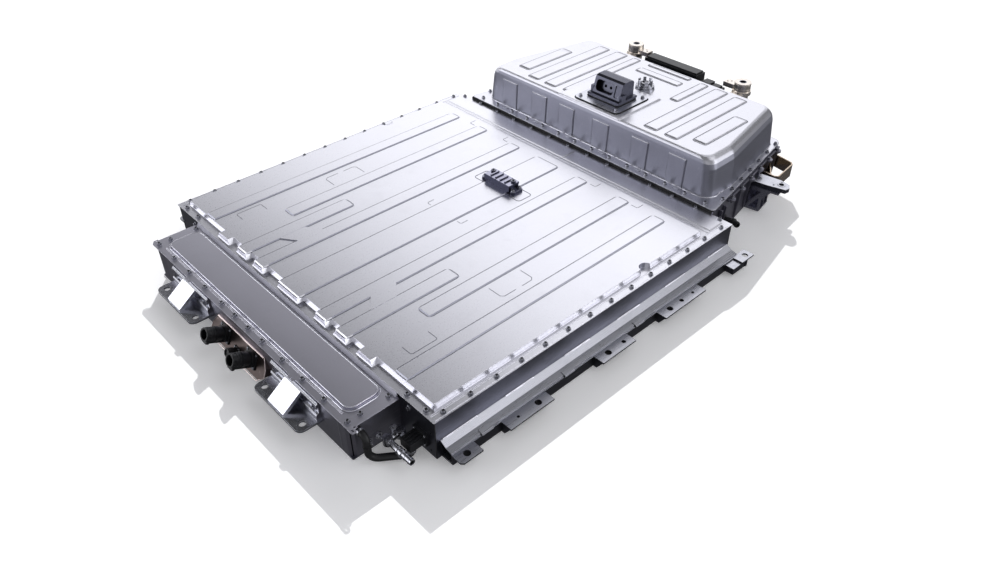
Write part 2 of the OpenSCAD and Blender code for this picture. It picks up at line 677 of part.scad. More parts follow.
// Cast adapter whose front face leans back, so that the sockets point forward and up
signal_z = 29;
function face_y(z) = socket_y - (socket_z - z) * tan(socket_tilt);
module at_socket(x, z) {
  translate([x, face_y(z), z]) rotate([90 - socket_tilt, 0, 0]) children();
}
module connector_panel() {
  y = -nose_len;
  color([0.50, 0.41, 0.37]) placed() difference() {
    intersection() {
      translate([-140, 0, 0]) rotate([90, 0, 90]) linear_extrude(280)
        polygon([[y, 8], [y, 70], [face_y(70), 70], [face_y(12), 12], [face_y(12) + 3, 8]]);
      rotate([90, 0, 0]) linear_extrude(400)
        polygon([[-104, 8], [104, 8], [132, 28], [130, 46], [114, 70], [-114, 70], [-130, 46], [-132, 28]]);
    }
    block(-88, 88, y - 1, y + 3, 26, 54);
    for (x = [-socket_x, socket_x]) at_socket(x, socket_z) translate([0, 0, -8]) cylinder(r = 13, h = 30);
    at_socket(0, signal_z) translate([0, 0, -8]) cylinder(r = 7, h = 30);
  }
}

// Round power socket with a square flange, a keyed mouth and a latch foot
module power_connector(x) {
  color(black) placed() at_socket(x, socket_z) difference() {
    union() {
      translate([-25, -22, 0]) cube([50, 44, 4]);
      cylinder(r = socket_r + 4, h = 12);
      cylinder(r = socket_r, h = socket_len);
      translate([0, 0, 26]) cylinder(r = socket_r + 2, h = 8);
      translate([-7, -socket_r - 6, 3]) cube([14, 8, socket_len - 16]);
      translate([-10, -socket_r - 7, socket_len - 14]) cube([20, 9, 8]);
    }
    translate([0, 0, 14]) cylinder(r = socket_bore, h = socket_len);
  }
}
module power_connector_left() { power_connector(-socket_x); }
module power_connector_right() { power_connector(socket_x); }

module signal_connector() {
  color(black) placed() at_socket(0, signal_z) difference() {
    union() {
      translate([-13, -13, 0]) cube([26, 26, 3]);
      cylinder(r = 11, h = 30);
      translate([0, 0, 14]) cylinder(r = 12.5, h = 5);
    }
    translate([0, 0, 12]) cylinder(r = 8, h = 30);
  }
}

// Black two-way block on the front beam; the tee screws into its left side
block_x0 = port_x - 15;
block_y0 = -44;
branch_y = -28;
nozzle_x = block_x0 - 21;
nozzle_y = branch_y - 35;
nozzle_end = lid_w / 2 - 3;
module coolant_manifold() {
  color(black) placed() difference() {
    union() {
      block(block_x0, port_x + 21, block_y0, -4, port_z - 12, port_z + 12);
      block(port_x - 21, port_x + 27, -4, 4, port_z - 18, port_z + 18);
      translate([port_x, 4, port_z]) rotate([-90, 0, 0]) cylinder(r = port_r - 0.3, h = 12);
    }
    translate([port_x, branch_y, port_z]) rotate([-90, 0, 0]) cylinder(r = 7, h = 60);
    translate([port_x, branch_y, port_z]) rotate([0, -90, 0]) cylinder(r = 6.3, h = 40);
  }
}

// Tee with a banjo branch, a capped top and a plain nozzle that points to the right
module coolant_tee() {
  color(steel) placed() difference() {
    union() {
      translate([block_x0, branch_y, port_z]) rotate([0, -90, 0]) cylinder(r = 9, h = block_x0 - nozzle_x);
      translate([nozzle_x, branch_y, port_z - 12]) cylinder(r = 13, h = 24);
      translate([nozzle_x, branch_y, port_z]) rotate([90, 0, 0]) cylinder(r = 9.5, h = branch_y - nozzle_y);
      translate([nozzle_x, nozzle_y, port_z - 11]) cylinder(r = 12, h = 22);
      translate([nozzle_x, nozzle_y, port_z]) rotate([0, 90, 0]) cylinder(r = nozzle_r, h = nozzle_end - nozzle_x);
      translate([nozzle_end - 38, nozzle_y, port_z]) rotate([0, 90, 0]) cylinder(r = nozzle_r + 3, h = 6);
      translate([nozzle_end - 50, nozzle_y, port_z]) rotate([0, 90, 0]) cylinder(r = nozzle_r + 2, h = 4);
      translate([nozzle_x, branch_y - 17, port_z]) cylinder(r = 7, h = 26);
      translate([nozzle_x, branch_y - 17, port_z + 22]) cylinder(r = 9, h = 8, $fn = 6);
    }
    translate([nozzle_x + 10, nozzle_y, port_z]) rotate([0, 90, 0]) cylinder(r = 5.5, h = nozzle_end);
  }
}
nozzle_r = 8;

// Formed hose with a marking band, from the nose's side wall down to the ground and up into the block
module coolant_hose() {
  run_x = hose_end_x - hose_x;
  run_y = hose_end_y - hose_y;
  run = sqrt(run_x * run_x + run_y * run_y);
  wall_x = nose_half - nose_wall + 1;
  r0 = 16;
  r1 = 24;
  r2 = 14;
  turn = atan2(run_y, run_x);
  band_z = (hose_low + r1 + hose_top - r0) / 2;
  color(black) placed() {
    translate([hose_x, hose_y, 0]) rotate([0, 0, turn]) {
      translate([0, 0, hose_low + r1]) cylinder(r = hose_r, h = band_z - hose_low - r1);
      translate([r1, 0, hose_low + r1]) rotate([-90, 0, 180]) rotate_extrude(angle = 90)
        translate([r1, 0]) circle(hose_r, $fn = 32);
      translate([r1, 0, hose_low]) rotate([0, 90, 0]) cylinder(r = hose_r, h = run - r1 - r2);
      translate([run - r2, 0, hose_low + r2]) rotate([-90, 0, 0]) rotate_extrude(angle = 90)
        translate([r2, 0]) circle(hose_r, $fn = 32);
      translate([run, 0, hose_low + r2]) cylinder(r = hose_r, h = port_z - 12 - hose_low - r2);
    }
    translate([hose_x, hose_y, band_z - 3]) cylinder(r = hose_r + 1, h = 6);
    translate([hose_x, hose_y, band_z]) cylinder(r = hose_r, h = hose_top - r0 - band_z);
    translate([hose_x - r0, hose_y, hose_top - r0]) rotate([90, 0, 0]) rotate_extrude(angle = 90)
      translate([r0, 0]) circle(hose_r, $fn = 32);
    translate([wall_x, hose_y, hose_top]) rotate([0, 90, 0]) cylinder(r = hose_r, h = hose_x - r0 - wall_x);
  }
}

// Cast bridge on the main lid with a lug at each corner
bridge_z = flange_top - 0.5 + panel_h;
module lid_bridge() {
  top = bridge_z + bead_h;
  color(alu_dark) placed() translate([0, bridge_y, 0]) difference() {
    union() {
      for (s = [-1, 1]) for (t = [-1, 1]) translate([s * 62, t * 14, bridge_z]) cylinder(r = 9, h = 8);
      for (s = [-1, 1]) block(s * 61 - 10, s * 61 + 10, -14, 14, bridge_z, bridge_z + 8);
      for (s = [-1, 1]) block(s * 50 - 4, s * 50 + 4, -18, 18, top, top + 20);
      block(-54, 54, -20, 20, top + 16, top + 23);
      block(-54, 54, -23, -17, top, top + 23);
      for (x = [-30, -10, 10, 30]) block(x - 2, x + 2, -18, 16, top + 22, top + 27);
      for (x = [-44, 44]) translate([x, 6, top + 16]) cylinder(r = 8, h = 12);
    }
    for (s = [-1, 1]) for (t = [-1, 1]) translate([s * 62, t * 14, bridge_z - 1]) cylinder(r = 3.2, h = 20, $fn = 24);
    for (x = [-44, 44]) translate([x, 6, top + 18]) cylinder(r = 3.2, h = 20, $fn = 24);
    block(-49, 49, -30, 30, bridge_z - 1, bridge_z + bead_h);
  }
}

plug_pad_z = hump_top + 4.5;
plug_base_t = 4;
module service_plug_base() {
  color(alu) placed() difference() {
    union() {
      translate([0, plug_y, plug_pad_z]) linear_extrude(plug_base_t) rounded_box2(-92, 92, -84, 84, 16);
      translate([0, plug_y, plug_pad_z]) linear_extrude(9) rounded_box2(-66, 66, -48, 48, 10);
    }
    translate([0, plug_y, plug_pad_z - 1]) cylinder(r = 30, h = 20);
    bolt_holes(plug_bolts, plug_pad_z - 1, 10);
  }
}

// Plug body whose leaning front face holds a rounded recess with a contact insert
plug_half = 57;
plug_h = 62;
module service_plug() {
  z = plug_pad_z + 9;
  y0 = plug_y - 31;
  lean = 12;
  color(alu_dark) placed() {
    difference() {
      union() {
        block(-66, 66, y0 - 14, y0 + 80, z, z + 7);
        translate([-plug_half, 0, 0]) rotate([90, 0, 90]) linear_extrude(2 * plug_half)
          polygon([[y0, z + 7], [y0 + 70, z + 7], [y0 + 70, z + plug_h - 8], [y0 + 64, z + plug_h - 2],
            [y0 + 54, z + plug_h], [y0 + 26, z + plug_h], [y0 + 16, z + plug_h - 4], [y0 + lean, z + plug_h - 10]]);
        block(-66, -plug_half + 2, y0 + 2, y0 + 22, z + 6, z + 26);
        block(plug_half - 2, 66, y0 + 2, y0 + 22, z + 6, z + 26);
      }
      at_mouth(y0, z, lean) {
        translate([0, 0, -34]) linear_extrude(60) rounded_box2(-48, 24, -19, 19, 12);
        translate([39, 0, -3]) linear_extrude(20) rounded_box2(-8, 8, -20, 20, 4);
      }
    }
    // Contact insert at the bottom of the recess
    at_mouth(y0, z, lean) difference() {
      translate([-12, 0, -34.5]) linear_extrude(14) offset(r = 12) square([22, 8], center = true);
      for (x = [-11, 11]) translate([-12 + x, 0, -30]) cylinder(r = 5, h = 20);
    }
  }
}
// Middle of the leaning front face, Z out of it
module at_mouth(y0, z, lean) {
  translate([0, y0 + lean * 0.55, z + 32]) rotate([90 - atan2(lean, plug_h - 17), 0, 0]) children();
}

// Vent valve: stepped base ring, groove, crown of posts and an open middle
valve_r = 33;
module vent_valve() {
  color(steel) placed() translate([20, valve_y, hump_top]) difference() {
    union() {
      translate([0, 0, -12]) cylinder(r = 16.7, h = 13);
      cylinder(r = valve_r, h = 5);
      translate([0, 0, 4]) cylinder(r = valve_r - 5, h = 5);
      translate([0, 0, 8]) cylinder(r = valve_r - 2, h = 4);
      translate([0, 0, 11]) cylinder(r = valve_r - 8, h = 5);
      translate([0, 0, 15]) cylinder(r = 16, h = 6);
      for (a = [0:60:300]) rotate([0, 0, a + 15]) block(valve_r - 14, valve_r - 9, -5, 5, 14, 30);
    }
    translate([0, 0, 8]) cylinder(r = 11, h = 30);
  }
}

// Cast rear mount: tall boss with a bore, an inward arm, a channel column and a foot on the frame
module rear_mount(side) {
  z = mount_top;
  clear_y = rear_end + hump_edge + 2;
  color([0.81, 0.77, 0.72]) placed() mirrored(side) difference() {
    union() {
      translate([mount_x, mount_y, z - 38]) cylinder(d = mount_d, h = 38);
      translate([mount_x, mount_y, z - 41]) cylinder(d = mount_d + 8, h = 12);
      block(mount_arm_x, mount_x, mount_y - 16, mount_y + 16, z - 30, z - 14);
      block(mount_x - 22, mount_x + 22, clear_y, mount_y + 12, 92, z - 34);
      block(mount_x - 45, mount_x + 45, rear_end, rear_end + foot_t, 30, rear_top - 5);
      for (s = [-1, 1]) translate([mount_x + s * 19 - 3, 0, 0]) rotate([90, 0, 90]) linear_extrude(6)
        polygon([[rear_end + 1, 36], [rear_end + foot_t, 36], [mount_y + 10, 110], [rear_end + 1, 110]]);
    }
    translate([mount_x, mount_y, 0]) cylinder(d = mount_bore_d, h = 400);
    for (x = foot_bolt_x) translate([x, rear_end - 1, foot_bolt_z]) rotate([-90, 0, 0])
      cylinder(r = 4.3, h = foot_t + 8, $fn = 24);
    for (s = [-1, 1]) translate([mount_arm_x + 15 + 5 * s, mount_y + 5 * s, z - 40])
      cylinder(r = 3.3, h = 60, $fn = 24);
    block(mount_x - 14, mount_x + 14, mount_y - 12, mount_y + 28, 96, z - 60);
  }
}
module rear_mount_left() { rear_mount(-1); }
module rear_mount_right() { rear_mount(1); }
mount_arm_x = mount_x - 66;
tube_z = 150;
tube_h = 40;

// Square tube between the two rear mounts
module rear_cross_tube() {
  x = mount_x - 22;
  y0 = mount_y - 33;
  y1 = mount_y + 15;
  color(black) placed() difference() {
    block(-x, x, y0, y1, tube_z, tube_z + tube_h);
    block(-x - 1, x + 1, y0 + 4, y1 - 4, tube_z + 4, tube_z + tube_h - 4);
  }
}

// Two round sockets that face backwards, in a box that stands on the tube
module rear_power_socket() {
  z = tube_z + tube_h;
  x0 = 2 - mount_arm_x;
  color([0.13, 0.15, 0.16]) placed() translate([0, mount_y, z]) difference() {
    union() {
      block(x0, 66, -31, 21, 0, 50);
      block(x0 + 6, 60, -25, 15, 50, 56);
    }
    for (x = rear_power_x) translate([x, -15, 24]) rotate([-90, 0, 0]) cylinder(r = 17, h = 60);
  }
}
rear_power_x = [-110, -30];

module rear_signal_socket() {
  color(black) placed() translate([0, mount_y, tube_z + tube_h]) difference() {
    union() {
      block(78, mount_arm_x - 8, -25, 15, 0, 24);
      block(84, 118, -21, 11, 24, 36);
      block(124, 152, -17, 7, 24, 32);
    }
    for (x = rear_signal_x) translate([x, -3, 11]) rotate([-90, 0, 0]) cylinder(r = 8, h = 60);
  }
}
rear_signal_x = [98, 136];

seat_gap = 0.2;
// Frame of reference on the tapered side: X leaves the wall at a right angle, Y runs along it
side_angle = atan2(rear_half - rear_half_end, rear_end - rear_chamfer - rear_front);
module at_side(y) {
  translate([side_at(y) + seat_gap, y, 0]) rotate([0, 0, side_angle]) children();
}

// Ribbed casting on each side of the rear section that carries the mounting arm
arm_row = rear_front + 308;
arm_x = side_at(arm_row) + 92;
arm_y = arm_row + 16;
arm_z = 102;
seat_z = 88;
module side_mount(side) {
  color([0.20, 0.20, 0.22]) placed() mirrored(side) difference() {
    at_side(arm_row) {
      block(0, 9, -36, 36, floor_t, seat_z);
      for (y = [-36, -4, 28]) translate([0, y + 6, 0]) rotate([90, 0, 0]) linear_extrude(6) difference() {
        polygon([[0, floor_t], [50, floor_t], [50, 52], [74, seat_z - 8], [74, seat_z], [0, seat_z]]);
        if (y < 0) {
          polygon([[13, floor_t + 9], [42, floor_t + 9], [42, 48], [40, 50]]);
          polygon([[8, 26], [34, 62], [46, 76], [8, 76]]);
        }
      }
      block(0, 50, -36, 36, floor_t, floor_t + 5);
      block(0, 100, -36, 36, seat_z - 6, seat_z);
    }
    translate([arm_x, arm_y, seat_z - 20]) cylinder(r = arm_hole_r + 3, h = 30);
  }
}
arm_hole_r = 8;
module side_mount_left() { side_mount(-1); }
module side_mount_right() { side_mount(1); }

// Folded channel arm on top of the casting, with one hole for the body bolt
arm_outline = [[arm_x - 29, arm_y - 34], [arm_x + 26, arm_y - 18], [arm_x + 29, arm_y], [arm_x + 19, arm_y + 17],
  [arm_x - 15, arm_y + 24]];
module side_arm(side) {
  root_rear = arm_row + 27;
  root_front = arm_row - 28;
  root = [[side_at(root_rear) + 1, root_rear], [side_at(root_front) + 1, root_front]];
  color(alu) placed() mirrored(side) difference() {
    translate([0, 0, seat_z]) linear_extrude(arm_z - seat_z) polygon(concat(arm_outline, root));
    translate([0, 0, seat_z - 1]) linear_extrude(arm_z - seat_z - 3) offset(delta = -4)
      polygon(concat(arm_outline, root));
    translate([arm_x, arm_y, 0]) cylinder(r = arm_hole_r, h = 200);
  }
}
module side_arm_left() { side_arm(-1); }
module side_arm_right() { side_arm(1); }

// Folded stay behind each side mount, a closed loop of strip with one divider
module corner_stay(side) {
  y0 = arm_row + 51;
  y1 = y0 + 130;
  x0 = side_at(y0) + seat_gap;
  outer = [[x0, y0], [x0 + 56, y0 - 2], [x0 + 67, y0 + 8], [x0 + 56, y0 + 107], [x0 + 46, y0 + 118],
    [side_at(y1) + seat_gap, y1]];
  color([0.30, 0.26, 0.22]) placed() mirrored(side) translate([0, 0, 56]) {
    linear_extrude(arm_z - 58) difference() {
      polygon(outer);
      offset(delta = -4) polygon(outer);
    }
    linear_extrude(arm_z - 62)
      polygon([[side_at(y0 + 84) + 2, y0 + 84], [x0 + 40, y0 + 1], [x0 + 45, y0 + 1],
        [side_at(y0 + 90) + 2, y0 + 90]]);
  }
}
module corner_stay_left() { corner_stay(-1); }
module corner_stay_right() { corner_stay(1); }

// Elbow fitting on the right wall just behind the main case
elbow_z = 57;
module drain_elbow() {
  color(black) placed() at_side(rear_front + 96) translate([0, 0, elbow_z]) rotate([0, 90, 0]) difference() {
    union() {
      cylinder(r = 14, h = 5);
      cylinder(r = 8, h = 34);
      translate([0, 0, 34]) sphere(r = 11);
      translate([0, 0, 34]) rotate([30, 0, 0]) cylinder(r = 8.5, h = 22);
      translate([0, 0, 34]) rotate([30, 0, 0]) translate([0, 0, 14]) cylinder(r = 10, h = 4);
    }
    translate([0, 0, 34]) rotate([30, 0, 0]) translate([0, 0, 6]) cylinder(r = 5.5, h = 30);
  }
}

bridge_bolts = [for (s = [-1, 1]) for (t = [-1, 1]) [s * 62, bridge_y + t * 14]];
module main_lid_bolts() {
  color(steel) placed() {
    for (p = lid_points) bolt(p, flange_top);
    for (p = bridge_bolts) bolt(p, bridge_z + 8, 8);
  }
}
module nose_lid_bolts() {
  color(steel) placed() for (p = nose_points) bolt(p, nose_lid_z + lid_t, 8);
}
// Cover bolts, service plug bolts, and bolts with nuts in the scalloped flange
module rear_section_bolts() {
  color(steel) placed() {
    for (p = hump_points) bolt(p, hump_flange_top, 10);
    for (p = plug_bolts) bolt(p, plug_pad_z + plug_base_t, 9);
    for (p = scallop_points) {
      bolt(p, scallop_z + scallop_t, 15);
      translate([p[0], p[1], scallop_z - 6]) cylinder(r = 6.2, h = 6, $fn = 6);
    }
  }
}
module wall_bolt(shank) {
  cylinder(r = 8, h = 2, $fn = 24);
  cylinder(r = 6.5, h = 7, $fn = 6);
  translate([0, 0, -shank]) cylinder(r = 4, h = shank + 1, $fn = 24);
}
// Bolts through the walls that hold the front brackets and the rear mounts
module bracket_bolts() {
  color(steel) placed() for (s = [-1, 1]) {
    for (dx = bracket_bolt_dx) translate([s * bracket_x + dx, -nose_len - 5, bracket_bolt_z])
      rotate([90, 0, 0]) wall_bolt(14);
    for (x = foot_bolt_x) translate([s * x, rear_end + foot_t, foot_bolt_z])
      rotate([-90, 0, 0]) wall_bolt(foot_t + rear_wall);
  }
}

// A module: sealed cell block with end plates, a cover and two terminals
module cell_module(x0, x1, y0, y1, z, h) {
  block(x0, x1, y0 + 8, y1 - 8, z, z + h - 6);
  block(x0, x1, y0, y0 + 9, z, z + h - 10);
  block(x0, x1, y1 - 9, y1, z, z + h - 10);
  block(x0 + 6, x1 - 6, y0 + 14, y1 - 14, z + h - 7, z + h - 2);
  for (x = [x0 + 30, x1 - 54]) block(x, x + 24, y0 + 30, y0 + 50, z + h - 3, z + h);
}
module module_row(i) {
  y = bay_y(i);
  color([0.35, 0.42, 0.50]) placed() {
    cell_module(16, beam_in - 4, y + 4, y + bay_len - 4, module_base, module_h);
    cell_module(4 - beam_in, -16, y + 4, y + bay_len - 4, module_base, module_h);
  }
}
module module_row_1() { module_row(0); }
module module_row_2() { module_row(1); }
module module_row_3() { module_row(2); }
module module_row_4() { module_row(3); }

rear_cell = rear_half_end - 28;
rear_cell_y0 = rear_front + 39;
rear_cell_y1 = rear_end - 54;
module rear_modules_lower() {
  color([0.35, 0.42, 0.50]) placed() {
    cell_module(6, rear_cell, rear_cell_y0, rear_cell_y1, module_base, module_h);
    cell_module(-rear_cell, -6, rear_cell_y0, rear_cell_y1, module_base, module_h);
  }
}
module rear_modules_upper() {
  color([0.35, 0.42, 0.50]) placed() {
    cell_module(6, rear_cell - 34, rear_cell_y0 + 20, rear_cell_y1 - 20, deck_z + 4, module_h);
    cell_module(34 - rear_cell, -6, rear_cell_y0 + 20, rear_cell_y1 - 20, deck_z + 4, module_h);
  }
}

deck_z = module_base + module_h;
module upper_deck() {
  color(alu) placed() difference() {
    block(18 - rear_cell, rear_cell - 18, rear_cell_y0 + 8, rear_cell_y1 - 6, deck_z, deck_z + 4);
    for (x = [-300, -100, 100, 300]) translate([x, rear_cell_y0 + 14, deck_z - 1]) cylinder(r = 3, h = 6, $fn = 24);
  }
}

module cold_plates() {
  color(alu) placed() {
    for (i = [0:3]) for (s = [-1, 1]) mirrored(s)
      block(14, beam_in - 2, bay_y(i) + 2, bay_y(i) + bay_len - 2, floor_t, module_base);
    for (s = [-1, 1]) mirrored(s) block(4, rear_cell + 4, rear_cell_y0 - 4, rear_cell_y1 + 6, floor_t, module_base);
  }
}

module junction_box() {
  color(black) placed() difference() {
    union() {
      block(-210, 210, 16 - nose_len, -14, floor_t, 84);
      block(-200, 200, 24 - nose_len, -22, 84, 92);
      block(-220, 220, -90, -50, floor_t, 10);
    }
    block(-180, 180, 14 - nose_len, 22 - nose_len, 30, 60);
  }
}

// Copper bars that join the rows over the cross beams
module busbars() {
  color([0.72, 0.45, 0.25]) placed() for (i = [1:3]) for (s = [-1, 1]) mirrored(s) {
    y0 = bay_y(i - 1) + 38;
    y1 = bay_y(i) + 50;
    x = i == 2 ? beam_in - 56 : 48;
    block(x, x + 18, y0, y1, deck_z, deck_z + 3);
  }
}

tray_floor();
side_beam_left();
side_beam_right();
front_beam();
rear_beam();
cross_beam_1();
cross_beam_2();
cross_beam_3();
centre_beams();
nose_frame();
rear_frame();
side_rail_left();
side_rail_right();
rear_tab_left();
rear_tab_right();
main_lid();
main_lid_gasket();
nose_lid();
nose_lid_gasket();
hump_cover();
hump_gasket();
front_bracket_left();
front_bracket_right();
connector_panel();
power_connector_left();
power_connector_right();
signal_connector();
coolant_manifold();
coolant_tee();
coolant_hose();
lid_bridge();
service_plug_base();
service_plug();
vent_valve();
rear_mount_left();
rear_mount_right();
rear_cross_tube();
rear_power_socket();
rear_signal_socket();
side_mount_left();
side_mount_right();
side_arm_left();
side_arm_right();
corner_stay_left();
corner_stay_right();
drain_elbow();
main_lid_bolts();
nose_lid_bolts();
rear_section_bolts();
bracket_bolts();
module_row_1();
module_row_2();
module_row_3();
module_row_4();
rear_modules_lower();
rear_modules_upper();
cold_plates();
upper_deck();
junction_box();
busbars();
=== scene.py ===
import bmesh
import bpy
import json
import math
from mathutils import Matrix, Vector


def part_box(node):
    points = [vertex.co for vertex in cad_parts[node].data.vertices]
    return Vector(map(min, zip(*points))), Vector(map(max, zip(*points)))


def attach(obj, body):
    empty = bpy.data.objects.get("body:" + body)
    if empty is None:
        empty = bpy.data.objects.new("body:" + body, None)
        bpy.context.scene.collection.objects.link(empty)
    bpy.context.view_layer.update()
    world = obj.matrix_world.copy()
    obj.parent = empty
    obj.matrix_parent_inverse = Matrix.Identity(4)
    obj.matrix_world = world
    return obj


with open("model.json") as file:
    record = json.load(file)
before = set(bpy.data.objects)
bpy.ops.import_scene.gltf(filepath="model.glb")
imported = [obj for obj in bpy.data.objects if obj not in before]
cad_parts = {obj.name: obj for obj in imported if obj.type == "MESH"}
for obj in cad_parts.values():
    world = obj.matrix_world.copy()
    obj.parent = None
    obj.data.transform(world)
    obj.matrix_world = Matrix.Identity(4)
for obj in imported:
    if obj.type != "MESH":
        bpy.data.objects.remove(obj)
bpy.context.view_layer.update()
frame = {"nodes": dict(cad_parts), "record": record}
scene = bpy.context.scene
scene.view_settings.view_transform = "Standard"
mm = 0.001
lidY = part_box("main_lid")[0].y


def at(x, y, z):  # mm to metres: x across, y back from the main lid's front edge, z up from the floor
    return Vector((x * mm, lidY + y * mm, z * mm))


# camera, as solved from the photograph
camera = {
    "azimuth": 46.86248568,
    "elevation": 37.98548269,
    "roll": -0.12085059,
    "place": (1.58526151, -1.47407904, 1.46204617),
    "lens": 29.782,
}


def makeCamera(values):
    a, e, r = (math.radians(values[k]) for k in ("azimuth", "elevation", "roll"))
    back = Vector((math.sin(a) * math.cos(e), -math.cos(a) * math.cos(e), math.sin(e)))
    right = Vector((math.cos(a), math.sin(a), 0))
    up = back.cross(right)
    turnedRight = right * math.cos(r) + up * math.sin(r)
    turnedUp = -right * math.sin(r) + up * math.cos(r)
    data = bpy.data.cameras.new("camera")
    data.lens = values["lens"]
    data.sensor_width = 36.0
    data.clip_start, data.clip_end = 0.01, 100.0
    cam = bpy.data.objects.new("camera", data)
    scene.collection.objects.link(cam)
    turn = Matrix((turnedRight, turnedUp, back)).transposed().to_4x4()
    cam.matrix_world = Matrix.Translation(values["place"]) @ turn
    scene.camera = cam


makeCamera(camera)
print("camera placed")


def linear(hexColour, gain=1.0):
    parts = [int(hexColour[i:i + 2], 16) / 255 for i in (1, 3, 5)]
    lin = [p / 12.92 if p <= 0.04045 else ((p + 0.055) / 1.055) ** 2.4 for p in parts]
    return tuple(min(1.0, c * gain) for c in lin) + (1.0,)


def addNode(tree, kind, inputs=None, out=0, **settings):
    # adds a node with its settings and links, gives back the output asked for
    node = tree.nodes.new("ShaderNode" + kind)
    for key, value in settings.items():
        setattr(node, key, value)
    for key, value in (inputs or {}).items():
        if isinstance(value, bpy.types.NodeSocket):
            tree.links.new(value, node.inputs[key])
        else:
            node.inputs[key].default_value = value
    return node.outputs[out] if node.outputs else node


# light: a bright wall behind and at the left that ends at 45 degrees up, a darker ceiling, bright
# cards that the steep faces see, hard sun from the rear left
light = {
    "ceiling": 0.20,
    "wall": 1.56,
    "wallToward": (0.0, 0.8, -0.6),
    "wallEdge": (-0.11, 0.05),
    "wallEnd": (-0.36, -0.10),
    "wallFar": (0.28, 0.46, 0.80),
    "low": (-0.36, -0.20),
    "below": 0.12,
    # direction, full inside this cosine, none outside this one, strength
    "cards": [((-0.69, -0.68, 0.26), 0.955, 0.87, 2.3),
              ((0.81, 0.55, 0.17), 0.965, 0.90, 2.40),
              ((0.37, 0.45, 0.81), 0.985, 0.90, 0.95),
              ((-0.58, 0.30, 0.76), 0.985, 0.93, -0.16),
              ((0.45, -0.80, 0.40), 0.97, 0.80, 0.45),
              ((0.95, -0.20, 0.25), 0.97, 0.80, 0.35)],
    "tint": (0.958, 0.962, 1.0, 1.0),
    "sunWay": (1.13, -1.08, -1.0),
    "sun": 2.6,
    "sunAngle": 0.4,
}


def makeLight(values):
    world = bpy.data.worlds.new("studio")
    scene.world = world
    world.use_nodes = True
    tree = world.node_tree
    tree.nodes.clear()
    eased = {"interpolation_type": "SMOOTHSTEP"}
    way = addNode(tree, "TexCoord", out="Generated")
    height = addNode(tree, "SeparateXYZ", {0: way}, out=2)
    across = height.node.outputs[0]
    side = addNode(tree, "VectorMath", {0: way, 1: values["wallToward"]}, "Value", operation="DOT_PRODUCT")
    start, end = values["wallEdge"]
    wall = addNode(tree, "MapRange", {0: side, 1: start, 2: end}, **eased)
    start, end = values["wallEnd"]
    stop = addNode(tree, "MapRange", {0: across, 1: start, 2: end, 3: 1.0, 4: 0.0}, **eased)
    wall = addNode(tree, "Math", {0: wall, 1: stop}, operation="MULTIPLY")
    start, end, far = values["wallFar"]
    fade = addNode(tree, "MapRange", {0: side, 1: start, 2: end, 3: 1.0, 4: far}, **eased)
    wall = addNode(tree, "Math", {0: wall, 1: fade}, operation="MULTIPLY")
    level = addNode(tree, "Math", {0: wall, 1: values["wall"] - values["ceiling"], 2: values["ceiling"]},
                    operation="MULTIPLY_ADD")
    start, end = values["low"]
    above = addNode(tree, "MapRange", {0: height, 1: start, 2: end}, **eased)
    level = addNode(tree, "Math", {0: level, 1: above}, operation="MULTIPLY")
    level = addNode(tree, "Math", {0: level, 1: values["below"]}, operation="MAXIMUM")
    for toward, full, none, strength in values["cards"]:
        facing = addNode(tree, "VectorMath", {0: way, 1: Vector(toward).normalized()}, "Value",
                         operation="DOT_PRODUCT")
        card = addNode(tree, "MapRange", {0: facing, 1: none, 2: full, 3: 0.0, 4: strength}, **eased)
        level = addNode(tree, "Math", {0: level, 1: card}, operation="ADD")
    tint = addNode(tree, "Mix", {0: 1.0, 6: values["tint"], 7: level}, 2,
                   data_type="RGBA", blend_type="MULTIPLY")
    sky = addNode(tree, "Background", {0: tint, 1: 1.0})
    addNode(tree, "OutputWorld", {0: sky})
    data = bpy.data.lights.new("key", "SUN")
    data.energy = values["sun"]
    data.angle = math.radians(values["sunAngle"])
    key = bpy.data.objects.new("key", data)
    scene.collection.objects.link(key)
    key.rotation_euler = Vector(values["sunWay"]).to_track_quat("-Z", "Y").to_euler()
    key.visible_glossy = False


makeLight(light)

# floor in metres, just below the pack's feet
studioFloor = {
    "half": 40.0, "drop": 0.0005, "colour": "#FFFFFF", "roughness": 0.95, "shine": 0.1, "glow": 0.16,
}


def makeFloor(values):
    h = values["half"]
    mesh = bpy.data.meshes.new("floor")
    mesh.from_pydata([(-h, -h, 0), (h, -h, 0), (h, h, 0), (-h, h, 0)], [], [(0, 1, 2, 3)])
    obj = bpy.data.objects.new("floor", mesh)
    scene.collection.objects.link(obj)
    paper = bpy.data.materials.new("mattPaper")  # matt white studio paper, nearly no shine
    paper.use_nodes = True
    shader = paper.node_tree.nodes["Principled BSDF"]
    shader.inputs["Base Color"].default_value = linear(values["colour"])
    shader.inputs["Roughness"].default_value = values["roughness"]
    shader.inputs["Specular IOR Level"].default_value = values["shine"]
    shader.inputs["Emission Color"].default_value = (1, 1, 1, 1)
    shader.inputs["Emission Strength"].default_value = values["glow"]
    mesh.materials.append(paper)
    obj.location.z = -values["drop"]
    obj.visible_glossy = False


makeFloor(studioFloor)
print("light and floor made")

